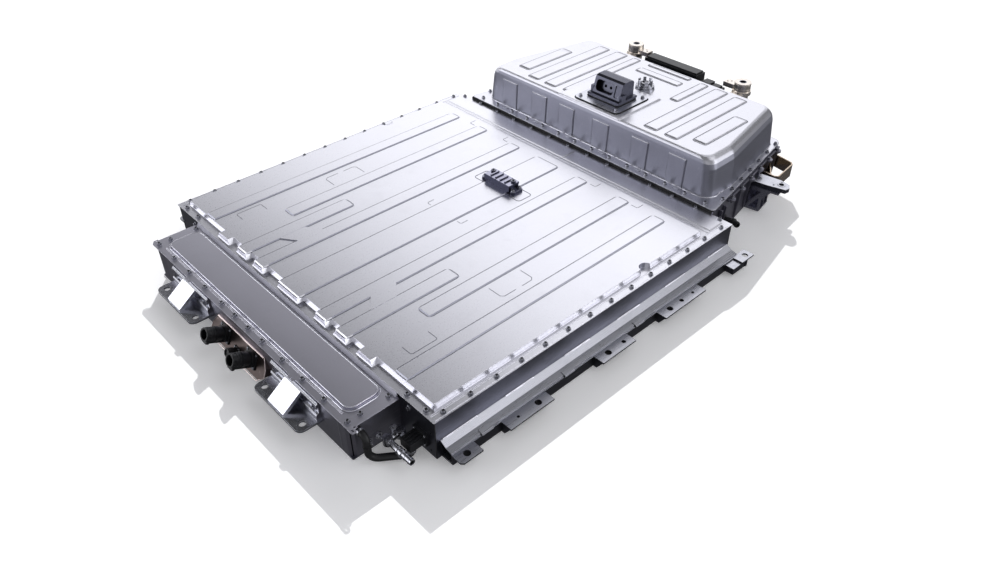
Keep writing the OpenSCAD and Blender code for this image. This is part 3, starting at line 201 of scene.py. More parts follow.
# what a finish has when it gives no value of its own: sizes in mm, and each band is the part of a
# pattern where its mark fades in
metalUsual = {
    "metallic": 1.0, "cloud": 160.0, "spread": 0.10, "edge": 0.8,
    "grain": 2.4, "stretch": (1, 1, 1), "speck": 0.05, "speckBand": (0.35, 0.68),
    "bump": 0.02, "fineness": 3.5, "fineBump": 0.4, "roughSpread": 0.055, "roughBand": (0.3, 0.7),
    "rub": 14.0, "rubStretch": (1, 14, 1), "wear": 0.12, "wearBand": (0.60, 0.74), "wornColour": "#F4F4F6",
    "grimeSize": 60.0, "grime": 0.10, "grimeBand": (0.56, 0.78), "grimeRough": 0.5, "grimeColour": "#5A5A5E",
    "uprightBand": (0.25, 0.72), "uprightRough": 0.14, "stepShadeTilt": 0.93,
}
plasticUsual = {
    "cloud": 30.0, "spread": (0.8, 1.25), "grain": 0.9, "bump": 0.05, "edge": 0.6,
    "roughBand": (0.3, 0.7), "roughSpread": (-0.06, 0.08),
    "scrape": 9.0, "scuff": 0.25, "scuffBand": (0.62, 0.76), "scuffColour": "#55555A",
}
materials = {}


def metalFinish(name, values):
    # slow cloudiness, fine grain in tone, roughness and bump, rub marks, dust, softened edges,
    # and painted shade on steep faces and pressed steps where a finish asks for it
    v = {**metalUsual, **values}
    mat = bpy.data.materials.new(name)
    mat.use_nodes = True
    tree = mat.node_tree
    shader = tree.nodes["Principled BSDF"]
    shader.inputs["Metallic"].default_value = v["metallic"]
    place = addNode(tree, "TexCoord", out="Object")
    along = addNode(tree, "VectorMath", {0: place, 1: v["stretch"]}, operation="DIVIDE")
    rubAlong = addNode(tree, "VectorMath", {0: place, 1: v["rubStretch"]}, operation="DIVIDE")
    cloud = addNode(tree, "TexNoise", {"Vector": place, "Scale": 1000 / v["cloud"], "Detail": 2.0})
    grain = addNode(tree, "TexNoise", {
        "Vector": along, "Scale": 1000 / v["grain"], "Detail": 4.0, "Roughness": 0.6})
    fine = addNode(tree, "TexNoise", {
        "Vector": along, "Scale": 1000 * v["fineness"] / v["grain"], "Detail": 2.0, "Roughness": 0.6})
    streaks = addNode(tree, "TexNoise", {
        "Vector": rubAlong, "Scale": 1000 / v["rub"], "Detail": 4.0, "Roughness": 0.7})
    dust = addNode(tree, "TexNoise", {
        "Vector": place, "Scale": 1000 / v["grimeSize"], "Detail": 5.0, "Roughness": 0.7})
    tone = addNode(tree, "Mix", {0: cloud, 6: linear(v["colour"], 1 - v["spread"]),
                                 7: linear(v["colour"], 1 + v["spread"])}, 2, data_type="RGBA")
    low, high = v["speckBand"]
    speck = addNode(tree, "MapRange", {0: grain, 1: low, 2: high, 3: 1 - v["speck"], 4: 1 + v["speck"]})
    tone = addNode(tree, "Mix", {0: 1.0, 6: tone, 7: speck}, 2, data_type="RGBA", blend_type="MULTIPLY")
    if "steepShadeColour" in v or "stepShadeColour" in v:
        upward = addNode(tree, "SeparateXYZ", {0: addNode(tree, "NewGeometry", out="Normal")}, 2)
    if "steepShadeColour" in v:  # painted shade: steep faces get a darker colour than the top
        low, high = v["uprightBand"]
        upright = addNode(tree, "MapRange", {0: upward, 1: low, 2: high, 3: 1.0, 4: 0.0})
        steepShade = linear(v["steepShadeColour"])
        tone = addNode(tree, "Mix", {0: upright, 6: tone, 7: steepShade}, 2, data_type="RGBA")
    if "stepShadeColour" in v:  # painted shade: the tilted faces of the pressed steps inside this area are darker
        x, y0, y1 = v["stepShadeArea"]
        across = addNode(tree, "SeparateXYZ", {0: place})
        back = across.node.outputs[1]
        fromMiddle = addNode(tree, "Math", {0: across}, operation="ABSOLUTE")
        stepShadeMask = addNode(tree, "Math", {0: fromMiddle, 1: x * mm}, operation="LESS_THAN")
        for value, limit, test in ((back, lidY + y0 * mm, "GREATER_THAN"),
                                   (back, lidY + y1 * mm, "LESS_THAN"),
                                   (upward, v["stepShadeTilt"], "LESS_THAN")):
            passed = addNode(tree, "Math", {0: value, 1: limit}, operation=test)
            stepShadeMask = addNode(tree, "Math", {0: stepShadeMask, 1: passed}, operation="MULTIPLY")
        tone = addNode(tree, "Mix", {0: stepShadeMask, 6: tone, 7: linear(v["stepShadeColour"])}, 2, data_type="RGBA")
    low, high = v["wearBand"]
    rubbed = addNode(tree, "MapRange", {0: streaks, 1: low, 2: high, 3: 0.0, 4: v["wear"]})
    tone = addNode(tree, "Mix", {0: rubbed, 6: tone, 7: linear(v["wornColour"])}, 2, data_type="RGBA")
    low, high = v["grimeBand"]
    grime = addNode(tree, "MapRange", {0: dust, 1: low, 2: high, 3: 0.0, 4: v["grime"]})
    tone = addNode(tree, "Mix", {0: grime, 6: tone, 7: linear(v["grimeColour"])}, 2, data_type="RGBA")
    tree.links.new(tone, shader.inputs["Base Color"])
    low, high = v["roughBand"]
    rough = addNode(tree, "MapRange", {
        0: grain, 1: low, 2: high,
        3: v["roughness"] - v["roughSpread"], 4: v["roughness"] + v["roughSpread"]})
    rough = addNode(tree, "Math", {0: grime, 1: v["grimeRough"], 2: rough}, operation="MULTIPLY_ADD")
    if "steepShadeColour" in v:
        rough = addNode(tree, "Math", {0: upright, 1: v["uprightRough"], 2: rough}, operation="MULTIPLY_ADD")
    tree.links.new(rough, shader.inputs["Roughness"])
    soft = addNode(tree, "Bevel", {"Radius": v["edge"] * mm}, samples=4)
    bump = addNode(tree, "Bump", {
        "Strength": 1.0, "Distance": v["bump"] * mm, "Height": grain, "Normal": soft})
    bump = addNode(tree, "Bump", {
        "Strength": 1.0, "Distance": v["bump"] * v["fineBump"] * mm, "Height": fine, "Normal": bump})
    tree.links.new(bump, shader.inputs["Normal"])
    materials[name] = mat


def plasticFinish(name, values):
    # slight mottling, moulded grain, scuffs that catch the light
    v = {**plasticUsual, **values}
    mat = bpy.data.materials.new(name)
    mat.use_nodes = True
    tree = mat.node_tree
    shader = tree.nodes["Principled BSDF"]
    place = addNode(tree, "TexCoord", out="Object")
    mottle = addNode(tree, "TexNoise", {"Vector": place, "Scale": 1000 / v["cloud"], "Detail": 3.0})
    grain = addNode(tree, "TexNoise", {"Vector": place, "Scale": 1000 / v["grain"], "Detail": 3.0})
    scrapes = addNode(tree, "TexNoise", {
        "Vector": place, "Scale": 1000 / v["scrape"], "Detail": 5.0, "Roughness": 0.75})
    dark, pale = (linear(v["colour"], gain) for gain in v["spread"])
    tone = addNode(tree, "Mix", {0: mottle, 6: dark, 7: pale}, 2, data_type="RGBA")
    low, high = v["scuffBand"]
    scuffs = addNode(tree, "MapRange", {0: scrapes, 1: low, 2: high, 3: 0.0, 4: v["scuff"]})
    tone = addNode(tree, "Mix", {0: scuffs, 6: tone, 7: linear(v["scuffColour"])}, 2, data_type="RGBA")
    tree.links.new(tone, shader.inputs["Base Color"])
    low, high = v["roughBand"]
    smoother, rougher = v["roughSpread"]
    rough = addNode(tree, "MapRange", {
        0: grain, 1: low, 2: high, 3: v["roughness"] + smoother, 4: v["roughness"] + rougher})
    tree.links.new(rough, shader.inputs["Roughness"])
    soft = addNode(tree, "Bevel", {"Radius": v["edge"] * mm}, samples=4)
    bump = addNode(tree, "Bump", {
        "Strength": 1.0, "Distance": v["bump"] * mm, "Height": grain, "Normal": soft})
    tree.links.new(bump, shader.inputs["Normal"])
    materials[name] = mat


# Real grain of rolled sheet is about 0.1 mm, too fine to show here: it is drawn at 2 to 3 mm.
metalFinishes = {
    # rolled aluminium sheet with a satin face: bright towards the light, faint long rub marks; the tilted
    # faces of its pressed steps are painted darker as shade
    "satinSheet": {"colour": "#E0E0E6", "roughness": 0.29, "roughSpread": 0.025, "grain": 2.6, "bump": 0.005,
                   "speck": 0.02, "cloud": 260.0, "spread": 0.04, "wear": 0.10, "grime": 0.05, "edge": 0.7,
                   "stepShadeColour": "#A6A7B3", "stepShadeArea": (555, 32, 1000)},
    # the same sheet drawn deep: its steep walls are rougher, and painted darker than the top as shade
    "drawnSheet": {"colour": "#DCDCE2", "steepShadeColour": "#8E8F9B", "roughness": 0.31, "grain": 3.0,
                   "bump": 0.006, "speck": 0.025, "cloud": 260.0, "spread": 0.04, "wear": 0.08, "grime": 0.05,
                   "edge": 6.0},
    # dark line round the foot of that sheet's pressed beads: painted shade where the bead meets the sheet
    "creaseShade": {"colour": "#6E6F79", "roughness": 0.48, "grain": 1.5, "bump": 0.010, "speck": 0.03},
    # rolled edge of bare sheet: a thin bright line
    "rolledEdge": {"colour": "#E8E8EE", "roughness": 0.22, "grain": 1.5, "bump": 0.005, "speck": 0.02,
                   "grime": 0.04, "edge": 0.2},
    # sheet anodised grey, so the nose reads darker than the main lid
    "anodisedSheet": {"colour": "#D0CFDA", "roughness": 0.30, "roughSpread": 0.025, "grain": 2.2,
                      "bump": 0.005, "speck": 0.03, "cloud": 200.0, "spread": 0.06, "wear": 0.08,
                      "grime": 0.06, "edge": 1.0},
    # mill finish of extruded beams, faint die lines along them; the colour is darkened as painted shade of
    # the case's side walls
    "extrudedBeam": {"colour": "#5F606A", "roughness": 0.38, "grain": 2.0, "stretch": (1, 12, 1),
                     "bump": 0.012},
    # bright extrusion of the rails with longer die lines; its steep faces are rougher and painted dark as
    # shade
    "extrudedRail": {"colour": "#CCCDD4", "steepShadeColour": "#4C4D54", "roughness": 0.30, "grain": 2.2,
                     "stretch": (1, 30, 1), "bump": 0.012, "wear": 0.18},
    # cast aluminium frame with a dull skin
    "castFrame": {"colour": "#8C8B96", "roughness": 0.42, "grain": 2.4, "bump": 0.05, "speck": 0.08,
                  "edge": 1.0, "grime": 0.25},
    # machined bracket, bright with tool marks across it; its steep faces are painted darker as shade
    "machinedBracket": {"colour": "#DCDDE3", "steepShadeColour": "#A5A6AF", "roughness": 0.22, "grain": 2.0,
                        "stretch": (10, 1, 1), "bump": 0.012, "edge": 1.0, "wear": 0.2},
    # passivated casting, a light bronze tint
    "passivatedCasting": {"colour": "#655A57", "roughness": 0.34, "grain": 2.2, "bump": 0.03,
                          "wornColour": "#CDBDB8", "edge": 0.9, "wear": 0.2},
    # polished rim of that casting
    "polishedRim": {"colour": "#EADAD6", "roughness": 0.20, "grain": 1.0, "bump": 0.005, "grime": 0.05},
    # nickel plated fittings, nearly a mirror
    "nickelPlate": {"colour": "#B5B6BC", "roughness": 0.20, "grain": 1.2, "bump": 0.01, "edge": 0.5,
                    "cloud": 30.0},
    # dark die casting, its skin scatters the light and its edges are rubbed bright
    "darkCasting": {"colour": "#6A6B78", "roughness": 0.36, "grain": 1.6, "bump": 0.06, "speck": 0.12,
                    "wear": 0.35, "wornColour": "#B9BAC2"},
    # the same casting blackened, for the service plug: deep grey with rubbed edges
    "blackenedCasting": {"colour": "#555661", "roughness": 0.30, "grain": 1.6, "bump": 0.04, "speck": 0.12,
                         "wear": 0.30, "wornColour": "#A9AAB4"},
    # ribbed die casting of the lid bridge: its top is light and its sides are painted dark as shade
    "ribbedCasting": {"colour": "#A6A6B6", "steepShadeColour": "#3F4050", "roughness": 0.24, "grain": 1.2,
                      "bump": 0.03, "wear": 0.3, "wornColour": "#C6C7D2"},
    # blasted die casting of the side mounts, brighter
    "blastedCasting": {"colour": "#9A9AA8", "roughness": 0.27, "grain": 1.2, "bump": 0.03, "grime": 0.12},
    # champagne tint of an anodised casting
    "tintedCasting": {"colour": "#E8E1D8", "roughness": 0.28, "grain": 1.8, "bump": 0.05, "edge": 1.0,
                      "grime": 0.16, "grimeColour": "#6E6458"},
    # bronze passivated sheet steel
    "bronzedSteel": {"colour": "#C4B3A0", "roughness": 0.22, "grain": 1.8, "bump": 0.03, "edge": 0.7,
                     "wornColour": "#C9B8A8", "wear": 0.3},
    # zinc plated bolts, greyed
    "zincPlate": {"colour": "#A4A5AC", "roughness": 0.22, "grain": 0.8, "bump": 0.008, "edge": 0.4,
                  "cloud": 20.0, "grime": 0.2},
    # blue grey coat on the modules' cases
    "coatedCase": {"colour": "#5F6A78", "roughness": 0.45, "metallic": 0.4, "grain": 1.5, "bump": 0.03},
    # bare copper, slightly browned
    "bareCopper": {"colour": "#C77B52", "roughness": 0.28, "grain": 1.2, "bump": 0.01,
                   "grimeColour": "#6B3F2A", "grime": 0.3},
}
plasticFinishes = {
    # foamed rubber, matt and porous
    "foamedRubber": {"colour": "#1B1B1D", "roughness": 0.80, "grain": 1.4, "bump": 0.15, "scuff": 0.1},
    # cured grey sealant, smoothed by hand: soft and matt
    "sealant": {"colour": "#BDBDC9", "roughness": 0.55, "grain": 2.5, "bump": 0.10, "scuff": 0.1},
    # glass filled nylon, moulded with a soft sheen
    "mouldedNylon": {"colour": "#121316", "roughness": 0.34, "grain": 0.7, "scuff": 0.15},
    # the same with a finer skin for water parts
    "fineNylon": {"colour": "#17181B", "roughness": 0.38, "grain": 0.8},
    # extruded hose rubber, even and half matt
    "hoseRubber": {"colour": "#141416", "roughness": 0.50, "grain": 0.6, "bump": 0.04},
    # powder coat with its orange peel
    "powderCoat": {"colour": "#15171A", "roughness": 0.36, "grain": 1.6, "bump": 0.10},
}
# finish of each slot, and of the nodes that differ from their slot
slotFinish = {
    "lid_sheet": "satinSheet", "nose_lid_sheet": "anodisedSheet", "case_aluminium": "extrudedBeam",
    "rail_aluminium": "extrudedRail", "cast_frame": "castFrame", "bracket_casting": "machinedBracket",
    "connector_casting": "passivatedCasting", "fitting_steel": "nickelPlate", "dark_casting": "darkCasting",
    "mount_casting": "tintedCasting", "stay_steel": "bronzedSteel", "bolt_steel": "zincPlate",
    "module_case": "coatedCase", "copper": "bareCopper", "seal_rubber": "foamedRubber",
    "socket_plastic": "mouldedNylon", "coolant_plastic": "fineNylon", "hose_rubber": "hoseRubber",
    "black_tube": "powderCoat",
}
ownFinish = {
    "hump_cover": "drawnSheet", "lid_bridge": "ribbedCasting", "service_plug": "blackenedCasting",
    "side_mount_left": "blastedCasting", "side_mount_right": "blastedCasting",
}


def paintNodes():
    for name, values in metalFinishes.items():
        metalFinish(name, values)
    for name, values in plasticFinishes.items():
        plasticFinish(name, values)
    for part in frame["record"]["subparts"]:
        obj = frame["nodes"][part["node"]]
        mat = materials[ownFinish.get(part["node"]) or slotFinish[part["material_slot"]]]
        if not obj.material_slots:
            obj.data.materials.append(mat)
        for s in obj.material_slots:
            s.material = mat


paintNodes()
print("materials on all CAD nodes")


# mesh helpers for the detail pieces; all sizes are mm
def addPiece(name, bm, finish):
    mesh = bpy.data.meshes.new(name)
    bmesh.ops.recalc_face_normals(bm, faces=bm.faces)
    bm.to_mesh(mesh)
    bm.free()
    mesh.set_sharp_from_angle(angle=math.radians(35))
    mesh.materials.append(materials[finish])
    piece = bpy.data.objects.new(name, mesh)
    scene.collection.objects.link(piece)
    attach(piece, "root")
    return piece


def turned(bm, profile, base, axis, segments=20, closed=False, spin=0.0):
    # profile holds (radius, height) along the axis from base; closed makes a ring instead of a solid
    axis = Vector(axis).normalized()
    side = axis.orthogonal().normalized()
    other = axis.cross(side)
    rings = []
    for radius, height in profile:
        ring = []
        for i in range(segments):
            a = spin + 2 * math.pi * i / segments
            ring.append(bm.verts.new(at(*(Vector(base) + axis * height
                                          + (side * math.cos(a) + other * math.sin(a)) * radius))))
        rings.append(ring)
    for k in range(len(rings) if closed else len(rings) - 1):
        low, high = rings[k], rings[(k + 1) % len(rings)]
        for i in range(segments):
            j = (i + 1) % segments
            bm.faces.new((low[i], low[j], high[j], high[i])).smooth = segments > 8
    if not closed:
        bm.faces.new(rings[0])
        bm.faces.new(rings[-1])


def swept(bm, path, section, closed=True, up=(0, 0, 1)):
    # section holds (outward, up) steps from each point of the path
    up = Vector(up)
    count = len(path)
    rings = []
    for i, point in enumerate(path):
        before = Vector(path[i - 1] if closed or i else path[i])
        after = Vector(path[(i + 1) % count] if closed or i < count - 1 else path[i])
        out = (after - before).normalized().cross(up).normalized()
        rings.append([bm.verts.new(at(*(Vector(point) + out * o + up * h))) for o, h in section])
    for i in range(count if closed else count - 1):
        a, b = rings[i], rings[(i + 1) % count]
        for k in range(len(section)):
            m = (k + 1) % len(section)
            bm.faces.new((a[k], a[m], b[m], b[k])).smooth = True
    if not closed:
        bm.faces.new(rings[0])
        bm.faces.new(rings[-1])


def roundedLoop(x0, x1, y0, y1, z, radius, steps=6):
    loop = []
    for cx, cy, start in ((x1 - radius, y1 - radius, 0), (x0 + radius, y1 - radius, 90),
                          (x0 + radius, y0 + radius, 180), (x1 - radius, y0 + radius, 270)):
        for i in range(steps + 1):
            a = math.radians(start + 90 * i / steps)
            loop.append((cx + radius * math.cos(a), cy + radius * math.sin(a), z))
    return loop


def halfRound(width, height, steps=5):
    # low dome of a rolled line, its foot sunk just below the sheet
    arc = [(-width / 2 * math.cos(math.pi * i / steps), height * math.sin(math.pi * i / steps))
           for i in range(steps + 1)]
    return arc + [(width / 2, -0.4), (-width / 2, -0.4)]


def prism(bm, outline, low, high, toPlace=None):
    # outline of two numbers a point between two heights; toPlace turns (a, b, height) into (x, y, z)
    toPlace = toPlace or (lambda a, b, h: (a, b, h))
    bottom = [bm.verts.new(at(*toPlace(a, b, low))) for a, b in outline]
    top = [bm.verts.new(at(*toPlace(a, b, high))) for a, b in outline]
    bm.faces.new(bottom)
    bm.faces.new(top)
    for i in range(len(outline)):
        j = (i + 1) % len(outline)
        bm.faces.new((bottom[i], bottom[j], top[j], top[i]))


def cutCorners(a0, a1, b0, b1, cut):
    return [(a0 + cut, b0), (a1 - cut, b0), (a1, b0 + cut), (a1, b1 - cut),
            (a1 - cut, b1), (a0 + cut, b1), (a0, b1 - cut), (a0, b0 + cut)]


def roundRod(radius, sides):  # round section for a swept line
    angles = [2 * math.pi * k / sides for k in range(sides)]
    return [(radius * math.cos(a), radius * math.sin(a)) for a in angles]


def row(pitch, count):  # even steps about the middle
    return [pitch * (i - (count - 1) / 2) for i in range(count)]


def mirrored(places):  # places on the right and their mirror images
    return [(side * x, y) for side in (-1, 1) for x, y in places]


def sideAt(y):  # half width of the tapered rear frame
    return 530 - 96 * (y - 1117) / 501


# directions of the turned parts
toTop = (0, 0, 1)
toFront = (0, -1, 0)
toRight = (1, 0, 0)

# heights of the sheets that the details sit on
levels = {"noseLid": 110.0, "lidFlange": 122.0, "lidPanel": 136.5, "coverFlange": 133.0, "coverTop": 256.0}

# crease round the foot of every bead on the main lid, with the small hooks at its ends, dark as painted
# shade where bead meets sheet; the beads in pairs have a mirror image
lidCreases = {
    "top": levels["lidPanel"], "width": 2.0, "height": 0.35, "apart": 1.2, "radius": 14,
    "single": [(-49, 49, 12, 968)],
    "pairs": [(125, 172, 12, 968), (424, 470, 31, 968), (287, 334, 207, 972), (212, 260, 12, 371)],
    "hooks": [((372, 92), (404, 92), (408, 96), (408, 168), (404, 172), (372, 172)),
              ((350, 392), (392, 392), (400, 400), (400, 440)),
              ((350, 505), (392, 505), (400, 497), (400, 462)),
              ((60, 535), (72, 535), (76, 539), (76, 560)),
              ((184, 965), (202, 965), (206, 969), (206, 990)),
              ((346, 965), (366, 965), (370, 969), (370, 990))],
}
# the same on the rear cover, where the lines are bolder
coverCreases = {
    "top": levels["coverTop"], "width": 2.2, "height": 0.5, "apart": 1.6, "radius": 11,
    "single": [(131, 162, 1402, 1578), (-162, -131, 1200, 1578), (-92, 90, 1498, 1532),
               (-88, 88, 1562, 1584)],
    "pairs": [(192, 241, 1192, 1578), (272, 319, 1192, 1572), (352, 400, 1228, 1455)],
    "hooks": [],
}


def makeCreases(name, values):
    bm = bmesh.new()
    d = values["apart"]
    section = halfRound(values["width"], values["height"])
    beads = values["single"] + values["pairs"] + [(-x1, -x0, y0, y1) for x0, x1, y0, y1 in values["pairs"]]
    for x0, x1, y0, y1 in beads:
        loop = roundedLoop(x0 - d, x1 + d, y0 - d, y1 + d, values["top"], values["radius"])
        swept(bm, loop, section)
    for hook in values["hooks"]:
        for side in (-1, 1):
            swept(bm, [(side * x, y, values["top"]) for x, y in hook], section, closed=False)
    # the lines are dark as painted shade at the beads' feet
    addPiece(name, bm, "creaseShade")


makeCreases("lid_bead_creases", lidCreases)
makeCreases("cover_bead_creases", coverCreases)

# rolled line round the foot of the cover's wall; black strip along the flange's front edge, a seal lip whose
# black also stands in as painted shade of the gap
coverFoot = {
    "half": 486, "rearHalf": 398, "front": 1153, "rear": 1609, "radius": 44, "steps": 8,
    "width": 4.0, "height": 2.0,
    "lip": [(1116.3, 122.2), (1121, 122.2), (1121, 131.4), (1119, 132.2), (1117.2, 131.0), (1116.3, 128)],
    "lipHalf": 526,
}


def makeCoverFoot(values):
    bm = bmesh.new()
    half, rearHalf, front, rear, radius = (values[k] for k in ("half", "rearHalf", "front", "rear", "radius"))
    loop = []
    for cx, cy, start in ((rearHalf - radius, rear - radius, 0), (radius - rearHalf, rear - radius, 90),
                          (radius - half, front + radius, 180), (half - radius, front + radius, 270)):
        for i in range(values["steps"] + 1):
            a = math.radians(start + 90 * i / values["steps"])
            loop.append((cx + radius * math.cos(a), cy + radius * math.sin(a), levels["coverFlange"]))
    swept(bm, loop, halfRound(values["width"], values["height"]))
    addPiece("cover_foot_line", bm, "rolledEdge")
    bm = bmesh.new()
    # black strip: seal lip and painted shade of the gap
    prism(bm, values["lip"], -values["lipHalf"], values["lipHalf"], lambda a, b, h: (h, a, b))
    addPiece("cover_seal_lip", bm, "foamedRubber")


makeCoverFoot(coverFoot)

# raised stamped marks on the flange of the rear cover, between its bolts
coverMarks = {
    "front": 1141.0, "count": 6, "pitch": 150.0, "size": (26, 10), "cut": 3, "sunk": 0.3, "height": 1.2,
}


def makeCoverMarks(values):
    bm = bmesh.new()
    w, d = values["size"]
    y, z = values["front"], levels["coverFlange"]
    for x in row(values["pitch"], values["count"]):
        outline = cutCorners(x - w / 2, x + w / 2, y - d / 2, y + d / 2, values["cut"])
        prism(bm, outline, z - values["sunk"], z + values["height"])
    addPiece("cover_flange_marks", bm, "drawnSheet")


makeCoverMarks(coverMarks)
print("creases and marks made")

# rolled ridge round the nose lid's panel and two fine steps along its front flange
noseRidge = {
    # half width, front, rear, height, corner radius, width and height of the line
    "lines": [(442, -114, -12, 110.2, 28, 2.6, 1.5), (436.6, -108.6, -17.4, 116.6, 22.6, 1.8, 1.0)],
    "steps": [-122.0, -118.6], "reach": 430, "stepWidth": 1.3, "stepHeight": 0.45,
}


def makeNoseRidge(values):
    bm = bmesh.new()
    for x, y0, y1, z, radius, width, height in values["lines"]:
        swept(bm, roundedLoop(-x, x, y0, y1, z, radius, steps=10), halfRound(width, height, steps=6))
    addPiece("nose_lid_ridge", bm, "rolledEdge")
    bm = bmesh.new()
    section = halfRound(values["stepWidth"], values["stepHeight"])
    for y in values["steps"]:
        ends = [(side * values["reach"], y, levels["noseLid"]) for side in (-1, 1)]
        swept(bm, ends, section, closed=False)
    addPiece("nose_flange_steps", bm, "rolledEdge")


makeNoseRidge(noseRidge)

# bead of grey sealant between the nose lid and the front edge of the main lid
sealantBead = {
    "half": 470,
    "section": [(-6.5, 110.2), (-5.5, 112.0), (-2.5, 117.5), (-0.6, 121.4), (0.6, 121.4), (0.6, 110.2)],
}


def makeSealantBead(values):
    bm = bmesh.new()
    prism(bm, values["section"], -values["half"], values["half"], lambda a, b, h: (h, a, b))
    addPiece("front_sealant_bead", bm, "sealant")


makeSealantBead(sealantBead)

# fine parallel steps rolled into the main lid's flange
flangeSteps = {
    "half": 600, "insets": (4.0, 19.0, 23.0), "front": 8, "rear": 1098, "width": 1.5, "height": 0.6,
}


def makeFlangeSteps(values):
    bm = bmesh.new()
    section = halfRound(values["width"], values["height"])
    for inset in values["insets"]:
        for side in (-1, 1):
            x, z = side * (values["half"] - inset), levels["lidFlange"]
            swept(bm, [(x, values["front"], z), (x, values["rear"], z)], section, closed=False)
    addPiece("lid_flange_steps", bm, "rolledEdge")


makeFlangeSteps(flangeSteps)

# thin frame pressed round the cast bridge, dark as painted shade at its foot, and rings round the screws in
# its top
bridgeFrame = {
    "outline": (-92, 106, 736, 791), "radius": 10, "width": 2.2, "height": 0.8,
    "screws": mirrored([(44, 774)]), "screwTop": 167.0,
    "ring": [(6.6, -1.0), (6.6, 0.6), (5.6, 1.2), (4.6, 1.2), (4.4, -1.0)],
}


def makeBridgeFrame(values):
    bm = bmesh.new()
    loop = roundedLoop(*values["outline"], levels["lidPanel"], values["radius"])
    swept(bm, loop, halfRound(values["width"], values["height"]))
    addPiece("bridge_frame", bm, "creaseShade")
    bm = bmesh.new()
    for x, y in values["screws"]:
        turned(bm, values["ring"], (x, y, values["screwTop"]), toTop, closed=True)
    addPiece("bridge_screws", bm, "zincPlate")


makeBridgeFrame(bridgeFrame)
print("ridges, steps and bridge frame made")

# weld seams between case and rail, pads on the rail's slope, nuts in its tabs with dark plugs in their bores
# as painted shade
railDetails = {
    "seams": [(19, 129), (211, 311), (413, 513), (613, 711), (815, 909), (1014, 1090)],
    "seamPlace": (597.6, 53.4), "seamRadius": 2.6, "seamSides": 10, "scale": 3.2, "dip": 0.86,
    "seamEnd": 0.35, "seamRise": 0.3,
    "holeX": 652, "tabLow": 30.0, "nutWall": 3.5, "nutHeight": 7, "boreShadeWider": 0.2, "boreShade": (-2.4, -6.8),
    # place along the rail and radius
    "holes": [(47, 9), (271, 9), (522, 9), (774, 9), (205, 4), (582, 6), (825, 6.5), (875, 4.5)],
    "pads": [(105, 140), (378, 413), (648, 683)],
    "padSection": [(623, 39.2), (633.6, 37.2), (636.2, 34.0), (639.5, 34.0), (637.6, 38.6), (623, 42.0)],
}


def weldSeam(bm, values, side, y0, y1):
    # a round seam whose radius dips between the scales and falls off at both ends
    x, z = values["seamPlace"]
    count = int((y1 - y0) / values["scale"]) * 2
    rings = []
    for i in range(count + 1):
        end = min(1.0, values["seamEnd"] + min(i, count - i) * values["seamRise"])
        r = values["seamRadius"] * end * (1.0 if i % 2 else values["dip"])
        rings.append([bm.verts.new(at(side * (x + dx), y0 + (y1 - y0) * i / count, z + dz))
                      for dx, dz in roundRod(r, values["seamSides"])])
    for a, b in zip(rings, rings[1:]):
        for k in range(values["seamSides"]):
            m = (k + 1) % values["seamSides"]
            bm.faces.new((a[k], a[m], b[m], b[k])).smooth = True
    bm.faces.new(rings[0])
    bm.faces.new(rings[-1])


def makeRailDetails(values):
    seams, pads, nuts, boreShades = (bmesh.new() for _ in range(4))
    for side in (-1, 1):
        for y0, y1 in values["seams"]:
            weldSeam(seams, values, side, y0, y1)
        for y0, y1 in values["pads"]:
            prism(pads, values["padSection"], y0, y1, lambda a, b, h: (side * a, h, b))
        for y, radius in values["holes"]:
            base = (side * values["holeX"], y, values["tabLow"])
            wide, low = radius + values["nutWall"], -values["nutHeight"]
            turned(nuts, [(radius, 0), (wide, 0), (wide, low), (radius, low)], base, toTop, 24, closed=True)
            # dark plug in each bore: painted shade
            turned(boreShades, [(radius + values["boreShadeWider"], height) for height in values["boreShade"]], base, toTop, 24)
    addPiece("rail_weld_seams", seams, "rolledEdge")
    addPiece("rail_pads", pads, "extrudedRail")
    addPiece("tab_nuts", nuts, "zincPlate")
    addPiece("tab_bore_shades", boreShades, "foamedRubber")


makeRailDetails(railDetails)
print("rail details made")

# rims on the bolts' heads, and dark discs in them as painted shade of their sockets
boltHead = {
    "rim": [(4.7, 5.4), (4.7, 6.6), (4.2, 7.0), (3.4, 7.0), (3.2, 5.4)],
    "socket": [(3.3, 5.6), (3.3, 6.15)],
}
# the bolts' places with the height of their seat
boltRows = {
    "mainLid": (mirrored([(588, 37 + 80.0 * i) for i in range(14)]) + [(x, 1109) for x in row(86.2, 14)]
                + mirrored([(492, 12), (560, 12)]), levels["lidFlange"]),
    "noseLid": (mirrored([(x, -127) for x in (33, 100, 190, 278, 366, 458)] + [(458, -93), (458, -15)]),
                levels["noseLid"]),
    "cover": ([(x, 1135) for x in row(75, 14)]
              + mirrored([(sideAt(1190 + 69 * i) - 5, 1190 + 69 * i) for i in range(7)])
              + [(x, 1625) for x in row(84, 10)], levels["coverFlange"]),
    "scallops": (mirrored([(sideAt(1232 + 71.8 * i) + 11, 1232 + 71.8 * i) for i in range(6)]), 123.0),
    "bridge": (mirrored([(62, 754), (62, 782)]), 144.5),
}


def makeBoltTops(rows, head):
    rims, sockets = bmesh.new(), bmesh.new()
    for places, seat in rows.values():
        for x, y in places:
            turned(rims, head["rim"], (x, y, seat), toTop, 16, closed=True)
            # dark disc in each head: painted shade of its socket
            turned(sockets, head["socket"], (x, y, seat), toTop, 6)
    addPiece("bolt_rims", rims, "zincPlate")
    addPiece("bolt_socket_shades", sockets, "foamedRubber")


makeBoltTops(boltRows, boltHead)
print("bolt tops made")

